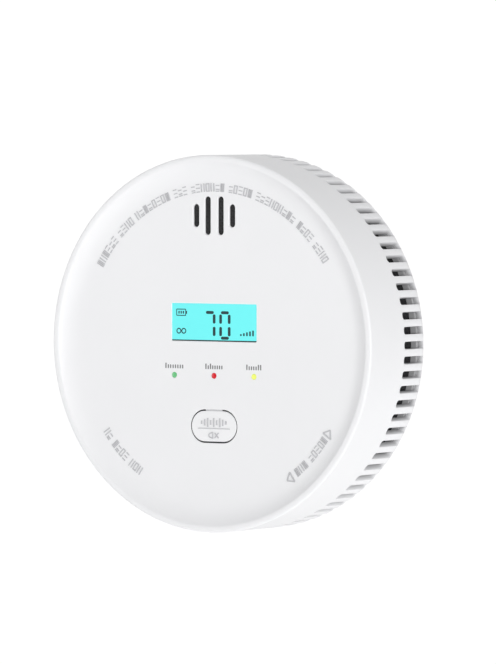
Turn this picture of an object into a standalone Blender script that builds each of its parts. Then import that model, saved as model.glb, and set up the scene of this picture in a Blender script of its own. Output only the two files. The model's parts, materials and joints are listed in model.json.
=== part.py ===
"""Wall-mounted carbon monoxide alarm: a slotted front cover, a rear housing with a battery bay, a twist-on
mounting bracket, and the board, display, sounder and gas sensor that they enclose.

Everything is drawn face up: x to the right, y up the wall, z away from the wall. The empty wall_frame then
turns the drawing upright, so that the wall is the plane Y = 0 and the face looks along -Y.
"""

from math import acos, asin, cos, pi, radians, sin, sqrt

import bmesh
import bpy
from mathutils import Matrix, Vector

MM = 0.001
GAP = 0.3 * MM  # kept between pieces that touch

# ---------------------------------------------------------------- driving sizes of the case
BODY_RADIUS = 50 * MM
WALL = 2.0 * MM
DISH_DEPTH = 2.3 * MM  # top of the rim to the flat face
DISH_WIDTH = 8.4 * MM  # flat face to the rim's inner edge
RIM_WIDTH = 1.94 * MM
RIM_HEIGHT = 0.27 * MM  # rim's inner edge to its top
RIM_EDGE_DROP = 0.7 * MM  # top of the rim to where the straight side begins
REAR_ROUNDING = 4.0 * MM
REAR_ROUNDING_OVERLAP = 2.1 * MM  # length of the vents that lies on the rounding

VENT_COUNT = 80
VENT_WIDTH = 2.0 * MM
VENT_LENGTH = 10.7 * MM
VENT_SETBACK = 0.6 * MM  # the vents begin this far behind the floor's front, so its edge shows

# ---------------------------------------------------------------- face openings
SOUND_SLOT_WIDTH = 1.85 * MM
SOUND_SLOTS = ((2.03 * MM, 10.2 * MM), (5.64 * MM, 6.1 * MM))  # distance from the middle, length
SOUND_Y = 33.9 * MM
SOUND_PAD_RECESS = 0.45 * MM  # face to the dust screen's pads, which fill the slots
WINDOW_WIDTH = 26.6 * MM
WINDOW_HEIGHT = 10.0 * MM
WINDOW_Y = 5.6 * MM
LAMP_SPACING = 12.5 * MM
LAMP_Y = -8.5 * MM
LAMP_HOLE_RADIUS = 1.0 * MM
BUTTON_WIDTH = 14.6 * MM
BUTTON_HEIGHT = 8.9 * MM
BUTTON_Y = -21.9 * MM
BUTTON_GAP = 0.4 * MM
BUTTON_THICKNESS = 1.6 * MM

# ---------------------------------------------------------------- bracket and twist lock
BRACKET_THICKNESS = 1.8 * MM
BRACKET_WIDTH = 11.0 * MM  # radial width of the ring
BRACKET_INSET = 4.0 * MM  # cover's outside to the ring's outside
HOOK_COUNT = 4
HOOK_FIRST = radians(45)
HOOK_STEM = radians(5)
HOOK_REACH = radians(11)
HOOK_WIDTH = 3.6 * MM
HOOK_THICKNESS = 1.8 * MM
TWIST = radians(12)
TWIST_MARGIN = radians(1)
HOOK_CLEARANCE = 0.4 * MM
WALL_SCREW_SLOT_WIDTH = 3.8 * MM
WALL_SCREW_SLOT_HALF_ANGLE = radians(13)

# ---------------------------------------------------------------- rear housing and battery bay
FLOOR_THICKNESS = 1.5 * MM
CELL_RADIUS = 7.25 * MM
CELL_LENGTH = 50.5 * MM
CELL_NUB_LENGTH = 1.0 * MM
CELL_NUB_RADIUS = 2.7 * MM
CELL_SPACE = 0.7 * MM  # between the two cells, and from each cell to the bay's long wall
CONTACT_THICKNESS = 0.4 * MM
CONTACT_WIDTH = 8.0 * MM
CONTACT_TAIL_WIDTH = 3.0 * MM
SPRING_LENGTH = 4.2 * MM
SPRING_WIRE_RADIUS = 0.35 * MM
BAY_WALL = 1.5 * MM
BAY_ROOF = 0.8 * MM
BAY_TO_BOARD = 0.3 * MM
DOOR_THICKNESS = 1.8 * MM
DOOR_INSET = 0.4 * MM
DOOR_PIN_RADIUS = 0.6 * MM
DOOR_PIN_LENGTH = 1.2 * MM

# ---------------------------------------------------------------- screen behind the vents
SCREEN_THICKNESS = 0.5 * MM
SCREEN_SPACE = 1.9 * MM  # cover's inside to the screen's outside

# ---------------------------------------------------------------- screws
CASE_SCREW_ANGLES = (radians(20), radians(160), radians(270))
CASE_SCREW_INSET = 9.3 * MM
CASE_SCREW_LENGTH = 12.0 * MM
CASE_SCREW_HEAD_RADIUS = 2.75 * MM
CASE_SCREW_HEAD_HEIGHT = 1.8 * MM
CASE_POST_RADIUS = 3.2 * MM
BOARD_SCREWS = ((34.5 * MM, -8 * MM), (-34.5 * MM, -8 * MM), (-12 * MM, -37 * MM))
BOARD_SCREW_LENGTH = 5.0 * MM
BOARD_SCREW_HEAD_RADIUS = 2.4 * MM
BOARD_SCREW_HEAD_HEIGHT = 1.3 * MM
BOARD_POST_RADIUS = 2.6 * MM
SCREW_CORE_RADIUS = 1.1 * MM

# ---------------------------------------------------------------- board and what it carries
BOARD_THICKNESS = 1.6 * MM
BOARD_INSET = 7.0 * MM  # cover's outside to the board's edge
BOARD_TOP_Y = 19 * MM  # the board stops here, below the sounder
FACE_TO_BOARD = 4.3 * MM
GLASS_WIDTH = 31 * MM
GLASS_HEIGHT = 15 * MM
GLASS_THICKNESS = 1.2 * MM
BACKLIGHT_THICKNESS = 1.3 * MM
LENS_RECESS = 0.1 * MM
SOUNDER_RADIUS = 11 * MM
SOUNDER_DEPTH = 11 * MM
SOUNDER_WALL = 1.2 * MM
SENSOR_RADIUS = 9.5 * MM
SENSOR_X = 17 * MM
SENSOR_TO_BAY = 0.95 * MM
SENSOR_CAP_HEIGHT = 1.4 * MM
SENSOR_CLEARANCE = 2.9 * MM  # floor to the sensor's cap
SWITCH_SIDE = 6.0 * MM
SWITCH_HEIGHT = 2.4 * MM
PLUNGER_RADIUS = 1.6 * MM
PLUNGER_RISE = 0.5 * MM

# ---------------------------------------------------------------- places that follow from those
COVER_INSIDE = BODY_RADIUS - WALL
RIM_INSIDE = BODY_RADIUS - RIM_WIDTH
FLAT_RADIUS = RIM_INSIDE - DISH_WIDTH

HOOK_RADIUS = BODY_RADIUS - BRACKET_INSET - BRACKET_WIDTH / 2 - 0.5 * MM
FLOOR_BACK = BRACKET_THICKNESS + HOOK_CLEARANCE
FLOOR_FRONT = FLOOR_BACK + FLOOR_THICKNESS
FLOOR_RADIUS = COVER_INSIDE - GAP - 0.1 * MM
VENT_REAR = FLOOR_FRONT - VENT_SETBACK
VENT_FRONT = VENT_REAR + VENT_LENGTH

DOOR_BACK = FLOOR_BACK + DOOR_INSET
DOOR_FRONT = DOOR_BACK + DOOR_THICKNESS
CELL_Y = CELL_RADIUS + CELL_SPACE / 2
CELL_Z = DOOR_FRONT + HOOK_CLEARANCE + CELL_RADIUS
BAY_LENGTH = CELL_LENGTH + SPRING_LENGTH + 2 * CONTACT_THICKNESS + 5 * GAP
BAY_HEIGHT = 4 * CELL_RADIUS + 3 * CELL_SPACE
BAY_INSIDE_FRONT = CELL_Z + CELL_RADIUS + GAP
BAY_FRONT = BAY_INSIDE_FRONT + BAY_ROOF
BAY_EDGE = BAY_HEIGHT / 2 + BAY_WALL

# The depth is what stands on the wall: bracket, floor, cells, board, face and dish.
BOARD_BACK = BAY_FRONT + BAY_TO_BOARD
BOARD_FRONT = BOARD_BACK + BOARD_THICKNESS
FACE_INSIDE = BOARD_FRONT + FACE_TO_BOARD
FACE = FACE_INSIDE + WALL
BODY_DEPTH = FACE + DISH_DEPTH
ON_BOARD = BOARD_FRONT + GAP  # where parts stand on the board's front
UNDER_BOARD = BOARD_BACK - GAP  # where parts hang from its back

SCREEN_RADIUS = COVER_INSIDE - SCREEN_SPACE
CASE_SCREW_RADIUS = BODY_RADIUS - CASE_SCREW_INSET


# ================================================================ finishes
FINISHES = {
    "white_abs": ((0.86, 0.86, 0.87), 0.42, 0.0),
    "black_mesh": ((0.015, 0.015, 0.016), 0.9, 0.0),
    "black_plastic": ((0.02, 0.02, 0.022), 0.5, 0.0),
    "board_green": ((0.03, 0.17, 0.08), 0.45, 0.0),
    "clear_lens": ((0.75, 0.95, 0.97), 0.08, 0.0),
    "lit_glass": ((0.20, 0.85, 0.86), 0.25, 0.0),
    "rubber_grey": ((0.16, 0.16, 0.17), 0.8, 0.0),
    "green_light": ((0.14, 0.62, 0.22), 0.3, 0.0),
    "red_light": ((0.72, 0.01, 0.03), 0.3, 0.0),
    "yellow_light": ((0.88, 0.84, 0.10), 0.3, 0.0),
    "steel": ((0.62, 0.62, 0.63), 0.3, 1.0),
    "brass": ((0.78, 0.60, 0.28), 0.3, 1.0),
    "cell_wrap": ((0.10, 0.11, 0.13), 0.4, 0.0),
    "ferrite": ((0.07, 0.065, 0.06), 0.7, 0.0),
}


def finish(name):
    """The material of that name, made once."""
    known = bpy.data.materials.get(name)
    if known:
        return known
    colour, roughness, metallic = FINISHES[name]
    material = bpy.data.materials.new(name)
    material.use_nodes = True
    shader = material.node_tree.nodes["Principled BSDF"]
    shader.inputs["Base Color"].default_value = (*colour, 1.0)
    shader.inputs["Roughness"].default_value = roughness
    shader.inputs["Metallic"].default_value = metallic
    return material


# ================================================================ modelling helpers
def clear_scene():
    for old in list(bpy.data.objects):
        bpy.data.objects.remove(old, do_unlink=True)


def make_frame():
    """The empty that stands the drawing up against the wall."""
    frame = bpy.data.objects.new("wall_frame", None)
    frame.rotation_euler = (pi / 2, 0, 0)
    bpy.context.scene.collection.objects.link(frame)
    return frame


def place(piece, at=(0, 0, 0)):
    bpy.context.scene.collection.objects.link(piece)
    piece.parent = bpy.data.objects["wall_frame"]
    piece.location = at
    return piece


def solid(name, bm, material, at=(0, 0, 0)):
    """An object from a closed bmesh, faces outwards, smooth where the surface is."""
    bmesh.ops.recalc_face_normals(bm, faces=bm.faces)
    mesh = bpy.data.meshes.new(name)
    bm.to_mesh(mesh)
    bm.free()
    mesh.shade_smooth()
    mesh.set_sharp_from_angle(angle=radians(35))
    mesh.materials.append(finish(material))
    return place(bpy.data.objects.new(name, mesh), at)


def slab(name, loops, along, material, at=(0, 0, 0)):
    """Each loop of points is a flat outline, drawn out along a vector."""
    bm = bmesh.new()
    for loop in loops:
        corners = [bm.verts.new(point) for point in loop]
        face = bm.faces.new(corners)
        made = bmesh.ops.extrude_face_region(bm, geom=[face], use_keep_orig=True)
        moved = [item for item in made["geom"] if isinstance(item, bmesh.types.BMVert)]
        bmesh.ops.translate(bm, verts=moved, vec=along)
    return solid(name, bm, material, at)


def prism(name, outlines, near, far, material="white_abs", at=(0, 0, 0)):
    """Outlines drawn in x and y, standing from depth near to depth far."""
    loops = [[(x, y, near) for x, y in outline] for outline in outlines]
    return slab(name, loops, (0, 0, far - near), material, at)


def lathe(name, profile, material="white_abs", at=(0, 0, 0), steps=48, axis="Z"):
    """A closed profile of (radius, height) turned about its axis; a radius of 0 lies on the axis."""
    bm = bmesh.new()
    rings = []
    for radius, height in profile:
        turns = 1 if radius == 0 else steps
        angles = [2 * pi * k / steps for k in range(turns)]
        rings.append([bm.verts.new((radius * cos(a), radius * sin(a), height)) for a in angles])
    for ring, following in zip(rings, rings[1:] + rings[:1]):
        for k in range(steps):
            corners = [ring[k % len(ring)], ring[(k + 1) % len(ring)]]
            corners += [following[(k + 1) % len(following)], following[k % len(following)]]
            corners = list(dict.fromkeys(corners))
            if len(corners) > 2:
                bm.faces.new(corners)
    if axis == "X":
        bmesh.ops.rotate(bm, verts=bm.verts, cent=(0, 0, 0), matrix=Matrix.Rotation(pi / 2, 3, "Y"))
    return solid(name, bm, material, at)


def boolean(target, tool, operation):
    modifier = target.modifiers.new(tool.name, "BOOLEAN")
    modifier.operation = operation
    modifier.object = tool
    tool.hide_render = True
    tool.display_type = "WIRE"


def cut(target, *tools):
    for tool in tools:
        boolean(target, tool, "DIFFERENCE")


def join(target, *tools):
    for tool in tools:
        boolean(target, tool, "UNION")


# ---------------------------------------------------------------- outlines
def polar(radius, angle):
    return radius * cos(angle), radius * sin(angle)


def circle(radius, centre=(0, 0), steps=32):
    points = [polar(radius, 2 * pi * k / steps) for k in range(steps)]
    return [(x + centre[0], y + centre[1]) for x, y in points]


def rectangle(width, height, centre=(0, 0)):
    x, y = centre
    w, h = width / 2, height / 2
    return [(x - w, y - h), (x + w, y - h), (x + w, y + h), (x - w, y + h)]


def stadium(width, height, centre=(0, 0), steps=8):
    """A rectangle whose shorter sides are half circles."""
    radius = min(width, height) / 2
    reach = max(width, height) / 2 - radius
    upright = height > width
    points = []
    for end, start in ((1, -pi / 2), (-1, pi / 2)):
        for k in range(steps + 1):
            x, y = polar(radius, start + pi * k / steps)
            points.append((x + end * reach, y))
    if upright:
        points = [(-y, x) for x, y in points]
    return [(x + centre[0], y + centre[1]) for x, y in points]


def band(radius, width, start, end, steps=8, round_ends=False):
    """A piece of a ring of that middle radius, from angle start to angle end."""
    angles = [start + (end - start) * k / steps for k in range(steps + 1)]
    outside = [polar(radius + width / 2, a) for a in angles]
    inside = [polar(radius - width / 2, a) for a in reversed(angles)]
    if not round_ends:
        return outside + inside
    half = steps // 2 + 1
    turn = [pi * k / half for k in range(1, half)]
    end_x, end_y = polar(radius, end)
    start_x, start_y = polar(radius, start)
    far_cap = [(end_x + width / 2 * cos(end + a), end_y + width / 2 * sin(end + a)) for a in turn]
    near_cap = [
        (start_x - width / 2 * cos(start + a), start_y - width / 2 * sin(start + a)) for a in turn
    ]
    return outside + far_cap + inside + near_cap


def arc(centre, radius, start, end, steps):
    """Points on an arc in the profile plane, ends included."""
    angles = [start + (end - start) * k / steps for k in range(steps + 1)]
    return [(centre[0] + radius * cos(a), centre[1] + radius * sin(a)) for a in angles]


# ================================================================ front cover
def dish_profile(steps=3):
    """(radius, depth) from the flat face up the dish to the rim's inner edge."""
    rise = DISH_DEPTH - RIM_HEIGHT
    radius = (DISH_WIDTH**2 + rise**2) / (2 * rise)
    stations = [DISH_WIDTH * k / steps for k in range(steps + 1)]
    return [(FLAT_RADIUS + w, FACE + radius - sqrt(radius**2 - w**2)) for w in stations]


def cover_rings():
    """The cover's section as rings of (radius, depth): the front ones, the slotted ones outside and
    inside, and the ones under the face."""
    rim = [
        (RIM_INSIDE + 0.45 * RIM_WIDTH, BODY_DEPTH),
        (RIM_INSIDE + 0.80 * RIM_WIDTH, BODY_DEPTH - 0.15 * RIM_EDGE_DROP),
        (BODY_RADIUS, BODY_DEPTH - RIM_EDGE_DROP),
    ]
    front = dish_profile() + rim
    centre = (BODY_RADIUS - REAR_ROUNDING, VENT_REAR + REAR_ROUNDING_OVERLAP)
    first = asin(REAR_ROUNDING_OVERLAP / REAR_ROUNDING)
    last = acos((COVER_INSIDE + GAP - centre[0]) / REAR_ROUNDING)
    rounding = [(BODY_RADIUS, VENT_FRONT)] + arc(centre, REAR_ROUNDING, -first, -last, 2)
    rear_edge = rounding[-1][1]
    inner = [(COVER_INSIDE, rear_edge), (COVER_INSIDE, VENT_REAR), (COVER_INSIDE, VENT_FRONT)]
    shoulder = FACE_INSIDE + 0.3 * DISH_DEPTH
    under_face = [
        (COVER_INSIDE, shoulder),
        (COVER_INSIDE - 0.6 * WALL, shoulder + 0.35 * WALL),
        (FLAT_RADIUS + 0.45 * DISH_WIDTH, FACE_INSIDE + 0.05 * DISH_DEPTH),
        (FLAT_RADIUS, FACE_INSIDE),
    ]
    return front, rounding, inner, under_face


def slotted_shell(name):
    """The cover as a mesh of rings. Near the slots a ring has two points for each slot, at its edges, and
    elsewhere one point for each bar."""
    bm = bmesh.new()
    pitch = 2 * pi / VENT_COUNT
    half_slot = VENT_WIDTH / 2 / BODY_RADIUS
    bars = [pitch * (k + 0.5) for k in range(VENT_COUNT)]
    edges = [pitch * k + side * half_slot for k in range(VENT_COUNT) for side in (-1, 1)]

    def ring(radius, depth, angles):
        return [bm.verts.new((*polar(radius, a), depth)) for a in angles]

    def strip(first, second, skip_slots=False):
        count = len(first)
        for k in range(count):
            over_slot = k % 2 == 0
            if not (skip_slots and over_slot):
                bm.faces.new((first[k], first[(k + 1) % count], second[(k + 1) % count], second[k]))

    def fan(coarse, fine):
        """Joins a ring of bar points to a ring of slot edges."""
        for k in range(VENT_COUNT):
            before, after = coarse[k - 1], coarse[k]
            left, right = fine[2 * k], fine[2 * k + 1]
            bm.faces.new((before, after, right, left))
            bm.faces.new((after, fine[(2 * k + 2) % len(fine)], right))

    front, rounding, inner, under_face = cover_rings()
    front_rings = [ring(r, z, bars) for r, z in front]
    outer_rings = [ring(r, z, edges) for r, z in rounding]
    inner_rings = [ring(r, z, edges) for r, z in inner]
    under_rings = [ring(r, z, bars) for r, z in under_face]

    bm.faces.new(front_rings[0])
    for first, second in zip(front_rings, front_rings[1:]):
        strip(first, second)
    fan(front_rings[-1], outer_rings[0])
    strip(outer_rings[0], outer_rings[1], skip_slots=True)
    for first, second in zip(outer_rings[1:], outer_rings[2:] + inner_rings[:1]):
        strip(first, second)
    strip(inner_rings[0], inner_rings[1])
    strip(inner_rings[1], inner_rings[2], skip_slots=True)
    fan(under_rings[0], inner_rings[2])
    for first, second in zip(under_rings, under_rings[1:]):
        strip(first, second)
    bm.faces.new(under_rings[-1])

    for k in range(0, 2 * VENT_COUNT, 2):
        around = [outer_rings[0][k], outer_rings[0][k + 1], outer_rings[1][k + 1], outer_rings[1][k]]
        within = [inner_rings[2][k], inner_rings[2][k + 1], inner_rings[1][k + 1], inner_rings[1][k]]
        for side in range(4):
            following = (side + 1) % 4
            bm.faces.new((around[side], around[following], within[following], within[side]))
    return solid(name, bm, "white_abs")


def sound_slots(width, longer=0.0):
    """Outlines that fill the sound slots, of another width and length where wanted."""
    return [
        stadium(width, length + longer, (side * x, SOUND_Y), steps=6)
        for x, length in SOUND_SLOTS
        for side in (-1, 1)
    ]


def face_openings():
    """One cutter for each kind of opening in the face."""
    through = (FACE_INSIDE - WALL, FACE + WALL)
    slots = sound_slots(SOUND_SLOT_WIDTH)
    lamps = [circle(LAMP_HOLE_RADIUS, (k * LAMP_SPACING, LAMP_Y), 16) for k in (-1, 0, 1)]
    return (
        prism("sound_slot_cutter", slots, *through),
        prism("window_cutter", [rectangle(WINDOW_WIDTH, WINDOW_HEIGHT, (0, WINDOW_Y))], *through),
        prism("lamp_cutter", lamps, *through),
        prism("button_cutter", [stadium(BUTTON_WIDTH, BUTTON_HEIGHT, (0, BUTTON_Y))], *through),
    )


def case_screw_places():
    return [polar(CASE_SCREW_RADIUS, angle) for angle in CASE_SCREW_ANGLES]


def case_post_end():
    """Depth at which the cover's posts meet the rear housing's bosses."""
    return FLOOR_FRONT + 2.8 * MM


def front_cover():
    cover = slotted_shell("front_cover")
    root = FACE_INSIDE + 0.6 * WALL
    case_posts = [circle(CASE_POST_RADIUS, p, 16) for p in case_screw_places()]
    board_posts = [circle(BOARD_POST_RADIUS, p, 12) for p in BOARD_SCREWS]
    join(
        cover,
        prism("case_posts", case_posts, case_post_end(), root),
        prism("board_posts", board_posts, ON_BOARD, root),
    )
    pilot = SCREW_CORE_RADIUS + GAP
    case_pilots = [circle(pilot, p, 12) for p in case_screw_places()]
    board_pilots = [circle(pilot, p, 12) for p in BOARD_SCREWS]
    case_pilot_end = case_screw_start() + CASE_SCREW_LENGTH + 1 * MM
    board_pilot_end = UNDER_BOARD + BOARD_SCREW_LENGTH + 0.5 * MM
    cut(
        cover,
        prism("case_pilots", case_pilots, case_post_end() - WALL, case_pilot_end),
        prism("board_pilots", board_pilots, ON_BOARD - WALL, board_pilot_end),
        *face_openings(),
    )


# ================================================================ rear housing
def bay_outline(grow=0.0):
    return rectangle(BAY_LENGTH + 2 * grow, BAY_HEIGHT + 2 * grow)


def case_screw_start():
    """Depth of the underside of a case screw's head."""
    return FLOOR_BACK + GAP + CASE_SCREW_HEAD_HEIGHT


def hook_angles():
    return [HOOK_FIRST + 2 * pi * k / HOOK_COUNT for k in range(HOOK_COUNT)]


def hook_slots():
    """The slots that let the bracket's hooks in, and leave only their stems room once it is twisted on."""
    width = HOOK_WIDTH + 2 * HOOK_CLEARANCE
    before = TWIST + TWIST_MARGIN
    after = HOOK_STEM + TWIST_MARGIN
    return [band(HOOK_RADIUS, width, a - before, a + after, 6) for a in hook_angles()]


def contact_tail_slits():
    """Openings in the bay's roof for the tails of the two separate contacts."""
    x = BAY_LENGTH / 2 - GAP - CONTACT_THICKNESS / 2
    width = CONTACT_THICKNESS + 2 * GAP
    height = CONTACT_TAIL_WIDTH + 2 * GAP
    return [rectangle(width, height, (x, side * CELL_Y)) for side in (-1, 1)]


def door_hinge():
    """(y, z) of the battery cover's pins."""
    return BAY_HEIGHT / 2 - GAP - DOOR_THICKNESS / 2, DOOR_BACK + DOOR_THICKNESS / 2


def rear_housing():
    middle = FLOOR_BACK + FLOOR_THICKNESS / 2
    below = FLOOR_BACK - WALL
    housing = prism("rear_housing", [circle(FLOOR_RADIUS, steps=72)], FLOOR_BACK, FLOOR_FRONT)

    rib = (SCREEN_RADIUS - SCREEN_THICKNESS - GAP - 0.4 * MM, 0.8 * MM)
    rib_inside, rib_outside = rib[0] - rib[1] / 2, rib[0] + rib[1] / 2
    rib_top = FLOOR_FRONT + 1.5 * MM
    rib_profile = [(rib_inside, middle), (rib_outside, middle), (rib_outside, rib_top), (rib_inside, rib_top)]
    boss_radius = CASE_SCREW_HEAD_RADIUS + GAP + 1.2 * MM
    bosses = [circle(boss_radius, p, 20) for p in case_screw_places()]
    boss_top = case_post_end() - GAP
    join(
        housing,
        prism("bay_walls", [bay_outline(BAY_WALL)], middle, BAY_FRONT),
        lathe("screen_rib", rib_profile, steps=60),
        prism("screw_bosses", bosses, middle, boss_top),
    )

    counterbores = [circle(CASE_SCREW_HEAD_RADIUS + GAP, p, 20) for p in case_screw_places()]
    holes = [circle(SCREW_CORE_RADIUS + GAP, p, 12) for p in case_screw_places()]
    hinge_y, hinge_z = door_hinge()
    pin_seat = DOOR_PIN_RADIUS + GAP
    seat_reach = BAY_LENGTH / 2 - GAP + DOOR_PIN_LENGTH + GAP
    seat_profile = [(0, -seat_reach), (pin_seat, -seat_reach), (pin_seat, seat_reach), (0, seat_reach)]
    cut(
        housing,
        prism("bay_space", [bay_outline()], below, BAY_INSIDE_FRONT),
        prism("hook_slots", hook_slots(), below, FLOOR_FRONT + FLOOR_THICKNESS),
        prism("counterbores", counterbores, below, case_screw_start() + GAP),
        prism("screw_holes", holes, below, boss_top + WALL),
        prism("tail_slits", contact_tail_slits(), BAY_INSIDE_FRONT - WALL, BAY_FRONT + WALL),
        lathe("door_pin_seats", seat_profile, at=(0, hinge_y, hinge_z), steps=12, axis="X"),
    )


def battery_cover():
    """The door of the battery bay, with its origin on its hinge pins. Its hinged edge is a half round."""
    hinge_y, hinge_z = door_hinge()
    half = DOOR_THICKNESS / 2
    width = BAY_LENGTH - 2 * GAP
    free_edge = -(hinge_y + BAY_HEIGHT / 2 - GAP)
    edge = arc((0, 0), half, -pi / 2, pi / 2, 6)
    section = [(free_edge, half), (free_edge, -half)] + edge
    loop = [(-width / 2, y, z) for y, z in section]
    at = (0, hinge_y, hinge_z)
    door = slab("battery_cover", [loop], (width, 0, 0), "white_abs", at)

    reach = width / 2 + DOOR_PIN_LENGTH
    pin = [(0, -reach), (DOOR_PIN_RADIUS, -reach), (DOOR_PIN_RADIUS, reach), (0, reach)]
    join(door, lathe("door_pins", pin, at=at, steps=12, axis="X"))
    grip = stadium(14 * MM, 4.5 * MM, (0, free_edge + 5 * MM), steps=6)
    grip_depth = 0.45 * DOOR_THICKNESS
    cut(door, prism("door_grip", [grip], -half - WALL, grip_depth - half, at=at))


# ================================================================ mounting bracket
def mounting_bracket():
    """The ring that is screwed to the wall. Its hooks hold the rear housing by the floor."""
    outside = BODY_RADIUS - BRACKET_INSET
    inside = outside - BRACKET_WIDTH
    profile = [(inside, 0), (outside, 0), (outside, BRACKET_THICKNESS), (inside, BRACKET_THICKNESS)]
    bracket = lathe("mounting_bracket", profile, steps=72)

    root = BRACKET_THICKNESS / 2
    head_back = FLOOR_FRONT + HOOK_CLEARANCE
    head_front = head_back + HOOK_THICKNESS
    stems = [band(HOOK_RADIUS, HOOK_WIDTH, a, a + HOOK_STEM, 2) for a in hook_angles()]
    heads = [
        band(HOOK_RADIUS, HOOK_WIDTH, a, a + HOOK_STEM + HOOK_REACH, 6) for a in hook_angles()
    ]
    stem_solid = prism("hook_stems", stems, root, (head_back + head_front) / 2)
    join(bracket, stem_solid, prism("hook_heads", heads, head_back, head_front))

    half_angle = WALL_SCREW_SLOT_HALF_ANGLE
    slots = [
        band(HOOK_RADIUS, WALL_SCREW_SLOT_WIDTH, a - half_angle, a + half_angle, 10, round_ends=True)
        for a in (0, pi / 2, pi, 3 * pi / 2)
    ]
    cut(bracket, prism("wall_screw_slots", slots, -WALL, BRACKET_THICKNESS + WALL))


# ================================================================ batteries and their contacts
def battery(name, side):
    """An AA cell lying along x. Side is 1 for the upper cell, whose nub points right, and -1 for the lower."""
    body = CELL_LENGTH - CELL_NUB_LENGTH
    edge = 0.5 * MM
    end = BAY_LENGTH / 2 - 2 * GAP - CONTACT_THICKNESS
    profile = [
        (0, 0),
        (CELL_RADIUS - edge, 0),
        (CELL_RADIUS, edge),
        (CELL_RADIUS, body - edge),
        (CELL_RADIUS - edge, body),
        (CELL_NUB_RADIUS, body),
        (CELL_NUB_RADIUS, CELL_LENGTH),
        (0, CELL_LENGTH),
    ]
    start = end - CELL_LENGTH
    points = [(radius, side * (start + height)) for radius, height in profile]
    lathe(name, points, "cell_wrap", (0, side * CELL_Y, CELL_Z), steps=24, axis="X")


def contact_spring(name, side):
    """The conical coil that presses on a cell's flat end; side is that cell's side."""
    wall = BAY_LENGTH / 2 - 2 * GAP - CONTACT_THICKNESS - SPRING_WIRE_RADIUS
    turns = 3.5
    per_turn = 10
    wide, narrow = 3.6 * MM, 2.2 * MM
    steps = int(turns * per_turn)
    rise = SPRING_LENGTH - 2 * SPRING_WIRE_RADIUS
    data = bpy.data.curves.new(name, "CURVE")
    data.dimensions = "3D"
    data.bevel_depth = SPRING_WIRE_RADIUS
    data.bevel_resolution = 1
    data.use_fill_caps = True
    data.materials.append(finish("steel"))
    spline = data.splines.new("POLY")
    spline.points.add(steps)
    for k, point in enumerate(spline.points):
        share = k / steps
        y, z = polar(wide + (narrow - wide) * share, 2 * pi * k / per_turn)
        point.co = (-side * (wall - rise * share), y, z, 1)
    place(bpy.data.objects.new(name, data), (0, side * CELL_Y, CELL_Z))


def contact_plate(name, x, low_y, high_y, tail=False):
    """A sheet that stands across the bay's end wall; its tail passes the roof to reach the board."""
    half = CONTACT_WIDTH / 2
    middle = (low_y + high_y) / 2
    outline = [(low_y, CELL_Z - half), (high_y, CELL_Z - half), (high_y, CELL_Z + half)]
    if tail:
        reach = CONTACT_TAIL_WIDTH / 2
        outline += [
            (middle + reach, CELL_Z + half),
            (middle + reach, UNDER_BOARD),
            (middle - reach, UNDER_BOARD),
            (middle - reach, CELL_Z + half),
        ]
    outline.append((low_y, CELL_Z + half))
    loop = [(x - CONTACT_THICKNESS / 2, y, z) for y, z in outline]
    slab(name, [loop], (CONTACT_THICKNESS, 0, 0), "steel")


def battery_contacts():
    x = BAY_LENGTH / 2 - GAP - CONTACT_THICKNESS / 2
    half = CONTACT_WIDTH / 2
    contact_plate("contact_jumper", -x, -CELL_Y - half, CELL_Y + half)
    contact_plate("contact_positive", x, CELL_Y - half, CELL_Y + half, tail=True)
    contact_plate("contact_negative", x, -CELL_Y - half, -CELL_Y + half, tail=True)
    contact_spring("contact_spring_upper", 1)
    contact_spring("contact_spring_lower", -1)


# ================================================================ screws
def screw(name, at, head_radius, head_height, length):
    """A pan head screw with a cross recess, head towards the wall; its origin is under its head."""
    dome = 0.55
    profile = [
        (0, -head_height),
        (0.6 * head_radius, -head_height),
        (head_radius, -dome * head_height),
        (head_radius, 0),
        (SCREW_CORE_RADIUS, 0),
        (SCREW_CORE_RADIUS, length - SCREW_CORE_RADIUS),
        (0, length),
    ]
    piece = lathe(name, profile, "steel", at, steps=12)
    arm, blade = 1.1 * head_radius, 0.28 * head_radius
    cross = [
        (blade, -blade), (arm / 2, -blade), (arm / 2, blade), (blade, blade),
        (blade, arm / 2), (-blade, arm / 2), (-blade, blade), (-arm / 2, blade),
        (-arm / 2, -blade), (-blade, -blade), (-blade, -arm / 2), (blade, -arm / 2),
    ]  # fmt: skip
    recess = 0.55 * head_height
    cut(piece, prism(name + "_recess", [cross], -2 * head_height, recess - head_height, at=at))


def screws():
    for k, (x, y) in enumerate(case_screw_places(), 1):
        at = (x, y, case_screw_start())
        screw(f"case_screw_{k}", at, CASE_SCREW_HEAD_RADIUS, CASE_SCREW_HEAD_HEIGHT, CASE_SCREW_LENGTH)
    for k, (x, y) in enumerate(BOARD_SCREWS, 1):
        at = (x, y, UNDER_BOARD)
        screw(f"board_screw_{k}", at, BOARD_SCREW_HEAD_RADIUS, BOARD_SCREW_HEAD_HEIGHT, BOARD_SCREW_LENGTH)


# ================================================================ board and parts on it
def circuit_board():
    """A disc cut straight across below the sounder, with a notch for each of the cover's posts."""
    radius = BODY_RADIUS - BOARD_INSET
    half_chord = sqrt(radius**2 - BOARD_TOP_Y**2)
    steps = 60
    left = Vector((-half_chord, BOARD_TOP_Y)).angle_signed(Vector((1, 0)))
    right = 2 * pi + Vector((half_chord, BOARD_TOP_Y)).angle_signed(Vector((1, 0)))
    outline = [polar(radius, left + (right - left) * k / steps) for k in range(steps + 1)]
    board = prism("circuit_board", [outline], BOARD_BACK, BOARD_FRONT, "board_green")
    notches = [circle(CASE_POST_RADIUS + 0.8 * MM, p, 20) for p in case_screw_places()]
    holes = [circle(SCREW_CORE_RADIUS + GAP, p, 12) for p in BOARD_SCREWS]
    through = (BOARD_BACK - WALL, BOARD_FRONT + WALL)
    cut(board, prism("post_notches", notches, *through), prism("board_holes", holes, *through))


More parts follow.
